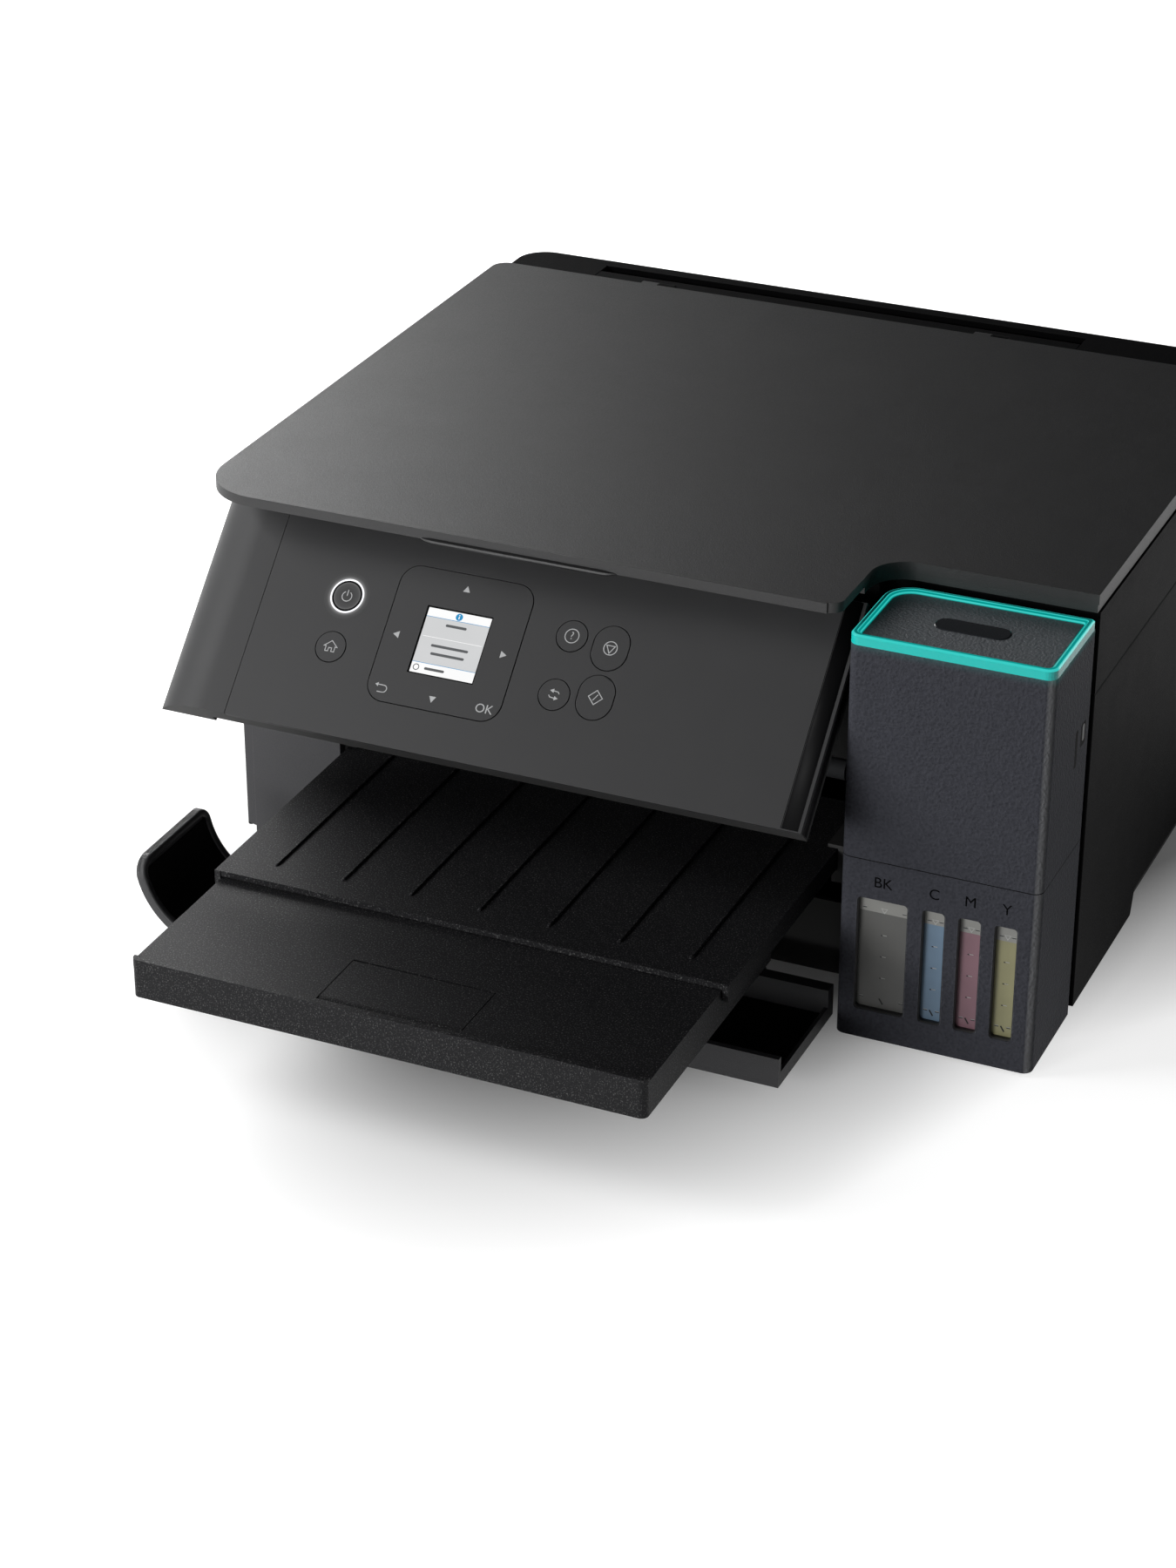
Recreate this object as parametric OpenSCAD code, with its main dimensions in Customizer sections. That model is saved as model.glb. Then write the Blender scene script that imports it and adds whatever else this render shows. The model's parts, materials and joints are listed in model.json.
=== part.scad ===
// All-in-one inkjet printer with a refillable ink tank unit at its front right corner.
// +X is to the right, +Y to the back, +Z up. The origin is at the bottom centre of the
// whole object as it stands printing: panel raised, front door down, output tray pulled out.

/* [Body] */
// Overall width
body_w = 371; // [360:1:400]
// Depth from the tank unit's front to the rear cover
body_d = 340; // [338:1:344]
// Height of the scanner unit's top above the table
body_top = 178.7; // [178:0.1:181]
// Height of the seam between lower body and scanner unit
seam_z = 144; // [143:0.5:145]
// Thickness of moulded outer covers
wall = 2.5; // [2:0.1:2.6]
// Gap at seams between outer covers
seam_gap = 0.6; // [0.4:0.1:0.8]
// Outer radius of the upright rear corners
rear_corner_r = 14; // [10:1:18]
// Height of the base moulding's underside, which is the length of the feet
foot_h = 2; // [2:0.5:3]
// Radius of a foot
foot_r = 8; // [6:1:10]
// Thickness of the base moulding's floor
base_t = 3; // [2.5:0.5:4]
// Height at which the side covers end behind the base step
skirt_z = 12; // [10:1:14]

/* [Tank unit] */
// Width of the tank unit
tank_w = 82; // [82:0.5:84]
// Depth of the tank unit
tank_d = 50; // [49:0.5:50]
// Height of the seam between lower and upper tank cover
tank_seam_z = 82.8; // [80:0.5:84]
// Height of the glowing ring
ring_h = 4.2; // [3.5:0.1:4.6]
// Width of the ring's flat
ring_w = 3.2; // [2.5:0.1:4]
// Radius of the tank unit's upright front corners
tank_corner_r = 4; // [3:0.5:6]
// Radius of the tank unit's upright corner beside the scanner unit
tank_back_r = 12; // [10:0.5:13]
// Height of the level windows' lower edge
window_z = 15; // [12:0.5:18]
// Height of the level windows
window_h = 51; // [46:1:54]
// Width of the black ink window
window_black_w = 20.8; // [19:0.2:21.5]
// Width of a colour ink window
window_colour_w = 9.2; // [8:0.2:9.6]
// Pitch of the colour ink windows
window_pitch = 14.8; // [14.4:0.1:15]
// Wall of an ink reservoir
reservoir_wall = 1.4; // [1:0.1:1.8]
// Radius of a filler spout
spout_r = 4.6; // [4:0.1:4.8]

/* [Document lid] */
// Full thickness of the lid
lid_t = 7.9; // [7:0.1:9]
// Thickness of the lid's thin front edge
lid_edge_t = 4.2; // [3.6:0.1:5]
// Lid's setback from the tank unit's front
lid_setback = 3.9; // [3.5:0.1:5]
// Lid's inset from the body's left side
lid_inset = 3.5; // [3:0.1:5]
// Lid's rear edge, behind the tank unit's front
lid_back = 296.4; // [295:0.2:296.6]
// Radius of the lid's front left corner
lid_corner_r = 26; // [18:1:30]
// Radius of the lid's inner corner round the tank unit
lid_notch_r = 15; // [10:1:18]

/* [Control panel] */
// Angle of the raised panel's face above the horizontal
panel_angle = 45.5; // [44:0.5:46]
// Length of the panel's face from its lower to its upper edge
panel_len = 95.5; // [94:0.5:96]
// Depth of the panel's housing
panel_t = 10; // [9.5:0.1:10]
// Radius of the panel's curved left end
panel_end_r = 30; // [28:1:34]
// Depth of the pivot behind the panel's face
pivot_depth = 14; // [13.9:0.1:14.2]
// Side of the square display
lcd_side = 28.4; // [26:0.2:29]
// Side of the key ring round the display
nav_side = 58.6; // [56:0.2:60]
// Radius of the power key
power_r = 5.6; // [5:0.1:6]
// Radius of the other round keys
key_r = 6.4; // [5.8:0.1:6.6]
// Key travel
key_travel = 0.8; // [0.6:0.1:1]
// Gap round a key
key_gap = 0.35; // [0.3:0.05:0.4]

/* [Front door] */
// Length of the door from its hinge side to its free edge
door_len = 60.5; // [58:0.5:61]
// Height of the door's rims
door_rim_h = 13; // [11:0.5:14]
// Radius of the door's wing, which wraps round the body's corner
wing_r = 36; // [34:1:38]
// Thickness of the door's skin
door_t = 2.6; // [2.2:0.1:3]

/* [Output tray] */
// Reach of the pulled-out tray in front of the tank unit
tray_reach = 147; // [146:0.5:148]
// Width of the tray
tray_w = 222; // [220:0.5:222.5]
// Height of the tray's upper surface
tray_z = 60; // [59.6:0.1:60.2]
// Height of the tray extension's underside
tray_low_z = 42; // [41:0.5:43]
// Thickness of the tray decks
deck_t = 2.5; // [2.2:0.1:2.6]
// How far the tray slides in
tray_travel = 90; // [80:1:90]
// How far the extension slides in
ext_travel = 68; // [60:1:68]

/* [Mechanism] */
// Height of the plane that the paper runs in
paper_z = 71; // [71:0.1:71.6]
// Radius of the paper feed roller
feed_r = 4.3; // [4:0.05:4.4]
// Radius of the output roller
exit_r = 4.4; // [4:0.05:4.5]
// Radius of the rollers' steel shafts
roller_shaft_r = 3; // [2.5:0.1:3.2]
// Gear module: pitch diameter over number of teeth
gear_m = 0.8; // [0.78:0.01:0.81]
// Teeth on the feed and output gears
feed_teeth = 28; // [28]
// Teeth on the idler gear
idler_teeth = 66; // [66]
// Teeth on the motor pinion
pinion_teeth = 12; // [12]
// Radius of the carriage's guide shaft
guide_r = 4; // [3.5:0.1:4.5]
// Width of the ink carriage
carriage_w = 70; // [60:1:72]
// Radius of the carriage belt pulleys
pulley_r = 6; // [5.5:0.1:6.5]
// Running clearance between shafts and bores
run_gap = 0.05; // [0.02:0.01:0.08]
// Side clearance of sliding and turning parts
side_gap = 0.4; // [0.3:0.05:0.5]

/* [Rear feed] */
// Lean of the paper support from the vertical
feed_lean = 25; // [24:0.5:26]
// Thickness of the paper support
support_t = 2.5; // [2:0.1:2.6]
// Width of the rear feed cover
feed_cover_w = 236; // [230:1:240]

/* [Hidden] */
$fn = 48;

// Main planes. Below, y is counted from the tank unit's front until at_front() shifts it.
front_y = -(body_d - tray_reach) / 2;
half_w = body_w / 2;
tank_x = half_w - tank_w;
shell_front = 38.2;
side_front = shell_front + 3;
right_cover_front = tank_d + 6.2;
scanner_front = 47;
scanner_back = lid_back - 0.4;
lid_bottom = body_top + 0.8;
lid_top = lid_bottom + lid_t;
base_top = foot_h + base_t;
base_step_y = 138;
base_inset = 4;
base_rim = 7;
rear_wall_y = body_d - wall;
ac_x = [-half_w + 40.5, -half_w + 66.5];
ac_z = [24, 46];
usb_x = [half_w - 39.5, half_w - 25.5];
usb_z = [38, 51];

// Throat, through which the tray slides and the paper comes out
paper_x = -24;
tray_x0 = paper_x - tray_w / 2;
tray_x1 = paper_x + tray_w / 2;
throat_x0 = tray_x0 - 1.8;
throat_x1 = tank_x - 4.5;
throat_top = 104;
sill_top = tray_low_z - 4;
rail_back = 86 + tray_travel;
rail_top = tray_z + 2;

// Control panel
pivot_y = lid_setback + pivot_depth;
pivot_z = seam_z - 2.1;
below_pivot = 60.5;
panel_x0 = -150.5;
panel_end_x = tank_x - 4;
panel_end_x0 = -160;
panel_end_depth = 14.2;
panel_skin = 2.5;
ear_x = [-132, 76];
ear_t = 3;
ear_r = 3.4;
pin_r = 1.6;
lcd_at = [-63.8, 46.7];
nav_at = [-64, 47.5];
power_at = [-114, 58.5];
home_at = [-114, 36.2];
help_at = [-14.6, 59.8];
copy_at = [-14.6, 34.8];
stop_at = [2.6, 57.8];
start_at = [2.6, 36.9];
pill_w = 15;
pill_h = 18.5;
ring_r = power_r + key_gap + 1.4;
key_flange = 0.9;

// Front door
door_axis_y = 11;
door_axis_z = 13;
door_z = lid_setback - door_axis_y + door_axis_z;
door_y1 = 6;
door_y0 = door_y1 - door_len;
door_x1 = tank_x - 2.9;
wing_x = -half_w + wing_r;
door_pin_r = 2;
door_arm_x = [-120, 60];

// Tray decks
ext_deck_top = tray_z - deck_t - 0.5;
tray_skirt_z = tray_z - 9.2;
tray_y0 = -74.7;
tray_y1 = 82.5;
ext_x0 = tray_x0 + wall + 0.6;
ext_x1 = tray_x1 - wall - 0.6;
ext_y0 = -tray_reach;
ext_y1 = tray_y1 - ext_travel - 36.5;
stop_w = 60;
stop_len = 28;
stop_axis_y = ext_y0 + 8;
stop_axis_z = ext_deck_top - 2.1;
stop_pin_r = 1;

// Tank unit
ring_z = body_top - ring_h;
cover_top = ring_z;
hinge_y = tank_d - 5;
hinge_z = ring_z - 3.1;
hinge_boss_r = 2.4;
hinge_pin_r = 1.2;
back_plate_y = tank_d + 1.2;
back_plate_t = 2.4;
tank_ear_t = 3;
tank_ear_x = [tank_x + 14, half_w - wall - tank_ear_t - 0.6];
window_black_x = tank_x + 7.7;
window_colour_x = window_black_x + window_black_w + 6.1;
window_x = [window_black_x, for (i = [0:2]) window_colour_x + i * window_pitch];
window_w = [window_black_w, for (i = [0:2]) window_colour_w];
reservoir_y0 = wall + 1.5;
reservoir_y1 = tank_d - 5.5;
reservoir_z0 = foot_h + wall + 2;
reservoir_top = 90;
deck_z = reservoir_top + 0.2;
deck_thick = 3;
spout_y = 20;
spout_h = 4;
cap_clear = 0.8;
cap_r = spout_r + cap_clear + 1.2;
cap_top = deck_z + deck_thick + spout_h + 2;
corner_z = 112;
cap_axis_y = 43;
cap_axis_z = deck_z + deck_thick + 5;
cap_rod_r = 1.5;
cap_barrel_r = 3;
cap_rod_x = [tank_x + 8.5, half_w - wall - 1];
cap_x = [for (i = [0:3]) window_x[i] + window_w[i] / 2];
tube_r = 1.6;
tube_z = reservoir_z0 + 5;
tube_end_y = 76;
tank_wall_y = [right_cover_front + 0.2, right_cover_front + wall];

// Rollers and gears
feed_y = 172;
feed_z = paper_z - feed_r;
gear_x0 = -158;
gear_w = 5;
feed_gear_r = gear_m * feed_teeth / 2;
idler_r = gear_m * idler_teeth / 2;
pinion_r = gear_m * pinion_teeth / 2;
idler_y = feed_y - feed_gear_r - idler_r;
exit_y = idler_y - idler_r - feed_gear_r;
pinion_y = feed_y + feed_gear_r + pinion_r;
feed_motor_t = 14;
frame_left_x = -148;
frame_right_x = throat_x1 + 2;
frame_t = 2;
frame_leg = 8;
frame_front = exit_y - 10;
frame_back = 200;
frame_top = paper_z - 1;
rear_frame_y = 198;
rear_frame_top = 135;

// Carriage
guide_y = 165;
guide_z = 105;
carriage_x0 = frame_right_x + 1;
carriage_y0 = 112;
carriage_y1 = 177;
carriage_z0 = paper_z + 2;
carriage_z1 = 126;
belt_y = 187;
belt_z = 118;
belt_w = 5;
belt_t = 1;
belt_x = [-half_w + 20.5, half_w - 20.5];
belt_r = pulley_r + 0.3;

// Rear feed
duct_y0 = scanner_back + 2;
rear_front = scanner_back + 3.6;
duct_t = 2;
lean_tan = tan(feed_lean);
hopper_top_z = 170;
hopper_low_z = 60;
hopper_top_y = body_d - 17.6;
support_shift = wall / cos(feed_lean) + 0.4;
feed_side_x = [-150, 100];
feed_side_t = 3;
pickup_y = body_d - 81;
pickup_z = 74;
pickup_r = 13;
slot_y0 = body_d - 34;
slot_y1 = body_d - 13;
feed_cover_x0 = paper_x - feed_cover_w / 2;
feed_cover_t = 2.5;
feed_pin_r = 1;
flap_axis_y = slot_y1 - 2;

// Scanner and lid hinges
scan_hinge_y = lid_back + 4.6;
scan_hinge_z = 173;
scan_hinge_x = [-140, 76];
lid_hinge_y = lid_back + 4.1;
lid_hinge_z = lid_bottom + 4;
lid_hinge_x = [-110, 52];
hinge_r = 3.2;
hinge_w = 8;
glass_x = [-152, 150];
glass_y = [62, 284];
glass_t = 3;
lid_rim = 8;
lid_notch = [tank_x - 5.5, tank_d + 3.2];
scan_rail_y = 173;
scan_rail_z = 152;
scan_rail_r = 3;

// A box between planes
module block(x, y, z) {
    translate([x[0], y[0], z[0]]) cube([x[1] - x[0], y[1] - y[0], z[1] - z[0]]);
}

// Shifts the tank unit's front plane to its place
module at_front() {
    translate([0, front_y, 0]) children();
}

// A round bar along X
module rod_x(x, y, z, r) {
    translate([x[0], y, z]) rotate([0, 90, 0]) cylinder(h = x[1] - x[0], r = r);
}

// A round bar along Y
module rod_y(y, x, z, r) {
    translate([x, y[1], z]) rotate([90, 0, 0]) cylinder(h = y[1] - y[0], r = r);
}

// Extrudes a side view (y, z) along X
module side_view(x) {
    translate([x[0], 0, 0]) rotate([90, 0, 90]) linear_extrude(x[1] - x[0]) children();
}

// Extrudes a front view (x, z) along Y
module front_view(y) {
    translate([0, y[1], 0]) rotate([90, 0, 0]) linear_extrude(y[1] - y[0]) children();
}

// A rectangle with true round corners
module round_rect(x, y, r) {
    translate([x[0] + r, y[0]]) square([x[1] - x[0] - 2 * r, y[1] - y[0]]);
    translate([x[0], y[0] + r]) square([x[1] - x[0], y[1] - y[0] - 2 * r]);
    for (cx = [x[0] + r, x[1] - r]) {
        for (cy = [y[0] + r, y[1] - r]) {
            translate([cx, cy]) circle(r = r);
        }
    }
}

// A rectangle whose two corners at its low y side are round
module front_round_rect(x, y, r) {
    round_rect(x, [y[0], y[0] + 2 * r + 1], r);
    translate([x[0], y[0] + r]) square([x[1] - x[0], y[1] - y[0] - r]);
}

// ---------- Base and outer covers ----------

module base_tray() {
    x = [-half_w + base_inset, half_w - base_inset];
    y = [side_front + 1, body_d - base_inset];
    rim = base_rim;
    color("#1b1b1d") at_front() {
        difference() {
            block(x, y, [foot_h, skirt_z]);
            block([x[0] + rim, x[1] - rim], [y[0] + rim, y[1] - rim], [base_top, skirt_z + 1]);
            block([throat_x0 - 3, throat_x1 + 3], [y[0] - 1, y[0] + rim + 1],
                  [base_top, skirt_z + 1]);
            block([tank_x - 1, half_w], [y[0] - 1, right_cover_front + 1], [foot_h - 1, skirt_z + 1]);
            block([tank_x - 1, half_w], [y[0] - 1, tank_wall_y[1]], [base_top, skirt_z + 1]);
            block([half_w - wall - side_gap, half_w], [right_cover_front, base_step_y + 6],
                  [foot_h - 1, skirt_z + 1]);
        }
    }
}

module foot(x, y) {
    translate([x, y, 0]) cylinder(h = foot_h, r = foot_r);
}

module rubber_feet() {
    color("#151515") at_front() {
        foot(-half_w + 30, side_front + 18);
        foot(half_w - 30, right_cover_front + 18);
        foot(-half_w + 30, body_d - 28);
        foot(half_w - 30, body_d - 28);
    }
}

// Plan of a side wall that turns the rear corner
module side_plan(front, inner) {
    r = rear_corner_r;
    translate([inner, front]) square([wall, body_d - r - front]);
    intersection() {
        translate([inner, body_d - r]) square([r, r]);
        translate([inner + r, body_d - r]) difference() {
            circle(r = r);
            circle(r = r - wall);
        }
    }
}

module left_side_cover() {
    color("#232325") at_front() translate([0, 0, skirt_z]) {
        linear_extrude(seam_z - seam_gap - skirt_z) side_plan(side_front, -half_w);
    }
}

module right_side_cover() {
    low = foot_h;
    top = seam_z - seam_gap;
    color("#17171a") at_front() intersection() {
        translate([0, 0, low]) linear_extrude(top - low) {
            mirror([1, 0]) side_plan(right_cover_front, -half_w);
        }
        side_view([0, half_w + 1]) polygon([
            [right_cover_front - 1, low - 1], [base_step_y, low - 1], [base_step_y + 4, skirt_z],
            [body_d + 1, skirt_z], [body_d + 1, top + 1], [right_cover_front - 1, top + 1],
        ]);
    }
}

module rear_cover() {
    x = [-half_w + rear_corner_r, half_w - rear_corner_r];
    flap_x = [feed_cover_x0 - side_gap, feed_cover_x0 + feed_cover_w + side_gap];
    duct_x = [feed_side_x[0] - side_gap, feed_side_x[1] + feed_side_t + side_gap];
    upper_z = [seam_z - seam_gap, body_top];
    shelf_z = [body_top - wall, body_top];
    slot_back = hopper_y(body_top) + support_shift + support_t / cos(feed_lean) + 0.6;
    color("#1a1a1c") at_front() difference() {
        union() {
            block(x, [rear_wall_y, body_d], [skirt_z, body_top]);
            difference() {
                block([-half_w, half_w], [rear_front, rear_front + wall], upper_z);
                block(duct_x, [rear_front - 1, rear_front + wall + 1],
                      [upper_z[0] - 1, body_top + 1]);
            }
            block([-half_w, half_w], [rear_front, body_d], shelf_z);
            for (side = [-half_w, half_w - wall]) {
                block([side, side + wall], [rear_front, body_d], upper_z);
            }
        }
        socket_holes();
        block(flap_x, [rear_front - 1, slot_back], [shelf_z[0] - 1, body_top + 1]);
        rod_x([feed_cover_x0 - 4, feed_cover_x0 + feed_cover_w + 4], flap_axis_y,
              body_top - feed_cover_t / 2, feed_pin_r + run_gap);
        for (side = [0, 1]) {
            mirror([side, 0, 0]) upper_corner_cut();
        }
    }
}

// Cuts an upper rear corner to the same radius as the side covers' corners
module upper_corner_cut() {
    r = rear_corner_r;
    translate([-half_w, body_d - r, skirt_z - 1]) linear_extrude(body_top) difference() {
        translate([-1, 0]) square([r + 1, r + 1]);
        translate([r, 0]) circle(r = r);
    }
}

module socket_holes() {
    for (s = [[ac_x, ac_z], [usb_x, usb_z]]) {
        block(s[0], [rear_wall_y - 1, body_d + 1], s[1]);
    }
}

module rear_sockets() {
    depth = 18;
    inset = 1;
    for (s = [[ac_x, ac_z, "#0e0e0e"], [usb_x, usb_z, "#8a8c90"]]) {
        color(s[2]) at_front() difference() {
            block(s[0], [body_d - inset - depth, body_d - inset], s[1]);
            block([s[0][0] + 2, s[0][1] - 2], [body_d - inset - depth + 4, body_d],
                  [s[1][0] + 2, s[1][1] - 2]);
        }
    }
}

// ---------- Front structure ----------

module left_front_pillar() {
    face_x = -half_w + 6;
    color("#2e2e31") at_front() {
        block([face_x, throat_x0], [shell_front, shell_front + wall], [foot_h + 5, seam_z - seam_gap]);
        block([throat_x0 - wall, throat_x0], [shell_front + wall, rail_back],
              [base_top, rail_top]);
        block([face_x, face_x + wall], [shell_front + wall, side_front + 12],
              [skirt_z, seam_z - seam_gap]);
        block([-half_w + wall, face_x], [side_front + 6, side_front + 12],
              [skirt_z, seam_z - seam_gap]);
    }
}

// Ear that carries one of the panel's pins
module panel_ear(x) {
    low = pivot_z - ear_r;
    difference() {
        union() {
            rod_x([x, x + ear_t], pivot_y, pivot_z, ear_r);
            block([x, x + ear_t], [pivot_y, shell_front], [low, low + 5]);
        }
        rod_x([x - 1, x + ear_t + 1], pivot_y, pivot_z, pin_r + run_gap);
    }
}

module front_frame() {
    top = seam_z - seam_gap;
    arm_r = 4.5;
    color("#19191b") at_front() {
        block([throat_x0, throat_x1], [shell_front, shell_front + wall], [throat_top, top]);
        block([throat_x0, throat_x1], [shell_front, shell_front + wall], [base_top, sill_top]);
        block([throat_x1, throat_x1 + wall], [shell_front, frame_front - 1], [base_top, top]);
        difference() {
            block([throat_x1 + wall, half_w - wall - 1], tank_wall_y, [base_top, top]);
            tube_bores([tank_wall_y[0] - 1, tank_wall_y[1] + 1]);
        }
        for (x = ear_x) {
            panel_ear(x);
        }
        for (x = door_arm_x) {
            difference() {
                union() {
                    rod_x([x, x + ear_t], door_axis_y, door_axis_z, arm_r - 0.5);
                    block([x, x + ear_t], [door_axis_y, shell_front],
                          [door_axis_z - arm_r + 0.5, door_axis_z + arm_r - 0.5]);
                }
                rod_x([x - 1, x + ear_t + 1], door_axis_y, door_axis_z, door_pin_r + run_gap);
            }
        }
    }
}

// Channels in which the tray slides
module tray_rails() {
    y = [side_front + 1, rail_back];
    low = tray_skirt_z - 6;
    top = rail_top;
    lip = 4;
    ledge = [low, tray_skirt_z - 0.3];
    color("#141416") at_front() {
        block([throat_x0, tray_x0 + wall - 0.5], y, ledge);
        block([throat_x0, tray_x0 + lip], y, [tray_z + 0.3, top]);
        block([throat_x0, tray_x0 - side_gap], y, [low, top]);
        block([tray_x1 - wall + 0.5, throat_x1], y, ledge);
        block([tray_x1 - lip, throat_x1], y, [tray_z + 0.3, top]);
        block([tray_x1 + side_gap, throat_x1], y, [low, top]);
    }
}

// ---------- Mechanism ----------

module roller_bores(x) {
    for (y = [feed_y, exit_y]) {
        rod_x([x - 1, x + frame_t + 1], y, feed_z, roller_shaft_r + run_gap);
    }
}

module main_frame() {
    rear_x = [-half_w + wall + 1, half_w - wall - 3];
    bracket_y = [guide_y - 12, rear_frame_y];
    color("#a9acb0") at_front() {
        for (x = [frame_left_x, frame_right_x]) {
            difference() {
                block([x, x + frame_t], [frame_front, frame_back], [base_top, frame_top]);
                roller_bores(x);
                block([x - 1, x + frame_t + 1], [idler_y - 8, idler_y + 8], [base_top - 1, 30]);
            }
        }
        rod_x([gear_x0, frame_left_x], idler_y, feed_z, 2.5);
        difference() {
            block(rear_x, [rear_frame_y, frame_back], [skirt_z, rear_frame_top]);
            block([frame_left_x + frame_leg, frame_right_x - frame_leg],
                  [rear_frame_y - 1, frame_back + 1], [skirt_z - 1, paper_z + 12]);
            for (x = belt_x) {
                rod_y([rear_frame_y - 1, frame_back + 1], x, belt_z, 3);
            }
        }
        for (x = [rear_x[0], rear_x[1] - frame_t]) {
            difference() {
                block([x, x + frame_t], bracket_y, [guide_z - 12, guide_z + 12]);
                rod_x([x - 1, x + frame_t + 1], guide_y, guide_z, guide_r);
            }
        }
    }
}

module guide_shaft() {
    color("#c9ccd0") at_front() {
        rod_x([-half_w + wall + 1, half_w - wall - 3], guide_y, guide_z, guide_r);
    }
}

module platen() {
    y = [exit_y + exit_r + 2, feed_y - feed_r - 2];
    x = [throat_x0 + 1, throat_x1 - 1];
    rib_h = 1.2;
    color("#0f0f10") at_front() {
        block([frame_left_x + frame_t, frame_right_x], y, [rail_top, paper_z - rib_h]);
        for (i = [0:11]) {
            block([x[0] + 8 + i * 18, x[0] + 9.6 + i * 18], [y[0] + 3, y[1] - 3],
                  [paper_z - rib_h, paper_z]);
        }
    }
}

module timing_belt() {
    y = [belt_y - belt_w / 2, belt_y + belt_w / 2];
    color("#101010") at_front() front_view(y) difference() {
        belt_outline(belt_r + belt_t);
        belt_outline(belt_r);
    }
}

module belt_outline(r) {
    for (x = belt_x) {
        translate([x, belt_z]) circle(r = r);
    }
    translate([belt_x[0], belt_z - r]) square([belt_x[1] - belt_x[0], 2 * r]);
}

module pulley(x) {
    flange = 1.2;
    hub_y = [belt_y - belt_w / 2 - 0.4, belt_y + belt_w / 2 + 0.4];
    rod_y(hub_y, x, belt_z, pulley_r);
    rod_y([hub_y[0] - flange, hub_y[0]], x, belt_z, pulley_r + 2.5);
    rod_y([hub_y[1], hub_y[1] + flange], x, belt_z, pulley_r + 2.5);
    rod_y([hub_y[1], frame_back + 1], x, belt_z, 1.5);
}

module drive_pulley() {
    color("#c8a24a") at_front() pulley(belt_x[1]);
}

module idler_pulley() {
    color("#d8d8d4") at_front() pulley(belt_x[0]);
}

module motor_can(depth, r) {
    cylinder(h = depth, r = r);
    translate([0, 0, depth]) cylinder(h = 1.5, r = 4);
}

module drive_motors() {
    depth = 24;
    feed_motor_x = frame_left_x + frame_t + feed_motor_t + 1.5;
    color("#8d9093") at_front() {
        translate([belt_x[1], frame_back + depth + 3, belt_z]) rotate([90, 0, 0]) {
            motor_can(depth, 13);
        }
        translate([feed_motor_x, pinion_y, feed_z]) rotate([0, -90, 0]) {
            motor_can(feed_motor_t, 9);
        }
        block([belt_x[1] - 14, belt_x[1] + 14], [frame_back, frame_back + 3],
              [belt_z - 16, belt_z - 8]);
    }
}

module capping_station() {
    x = [carriage_x0 + 4, carriage_x0 + carriage_w - 2];
    y = [carriage_y0, carriage_y1 - 9];
    rim = 3;
    cup_z = base_top + 30;
    color("#26262a") at_front() {
        difference() {
            block(x, y, [base_top, paper_z - 4]);
            block([x[0] + rim, x[1] - rim], [y[0] + rim, y[1] - rim], [cup_z, paper_z]);
        }
        block([x[0] + 12, x[0] + 40], [y[0] + 8, y[1] - 8], [cup_z, paper_z - 1]);
    }
}

module waste_ink_box() {
    x = [frame_right_x + frame_t + 9, half_w - wall - 11];
    y = [frame_back + 12, body_d - 44];
    top = paper_z - 9;
    rim = 4;
    color("#d5d6d3") at_front() difference() {
        block(x, y, [base_top, top]);
        block([x[0] + rim, x[1] - rim], [y[0] + rim, y[1] - rim], [top - 6, top + 1]);
    }
}

module circuit_board() {
    x = half_w - wall - 6;
    t = 1.6;
    y = [body_d - 110, body_d - 14];
    z = [64, seam_z - 16];
    peg = 5;
    color("#1f5c3a") at_front() {
        block([x, x + t], y, z);
        block([x - 8, x], [y[1] - 26, y[1] - 4], [z[0] + 2, z[0] + 26]);
        block([x - 3, x], [y[0] + 10, y[0] + 32], [z[0] + 20, z[0] + 42]);
        for (py = [y[0] + 3, y[1] - 8]) {
            for (pz = [z[0] + 4, z[1] - 8]) {
                block([x + t, half_w - wall], [py, py + peg], [pz, pz + peg]);
            }
        }
    }
}

module power_supply() {
    color("#2a2b2e") at_front() {
        block([-half_w + base_inset + base_rim, feed_side_x[0] - 3],
              [frame_back + 12, body_d - 40], [base_top, paper_z + 1]);
    }
}

// ---------- Tank unit ----------

// Plan of the tank unit, set in from its outer faces
module tank_outline(inset) {
    x = [tank_x + inset, half_w - inset];
    y = [inset, tank_d - inset];
    r = tank_back_r - inset;
    difference() {
        front_round_rect(x, y, tank_corner_r - inset / 2);
        difference() {
            translate([x[0] - 1, y[1] - r]) square([r + 1, r + 1]);
            translate([x[0] + r, y[1] - r]) circle(r = r);
        }
    }
}

// Plan of the space inside a tank cover, which is open to the back beyond the corner
module tank_inside(inset) {
    tank_outline(inset);
    translate([tank_x + tank_back_r, tank_d / 2]) {
        square([tank_w - tank_back_r - inset, tank_d / 2 + 1]);
    }
}

module tank_walls() {
    difference() {
        tank_outline(0);
        tank_inside(wall);
    }
}

module tank_lower_cover() {
    z0 = foot_h;
    color("#34353c") at_front() difference() {
        union() {
            translate([0, 0, z0]) linear_extrude(tank_seam_z - z0) tank_walls();
            translate([0, 0, z0]) linear_extrude(wall) tank_outline(0);
        }
        for (i = [0:3]) {
            front_view([-1, wall + 1]) {
                round_rect([window_x[i], window_x[i] + window_w[i]],
                           [window_z, window_z + window_h], 1.6);
            }
        }
    }
}

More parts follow.
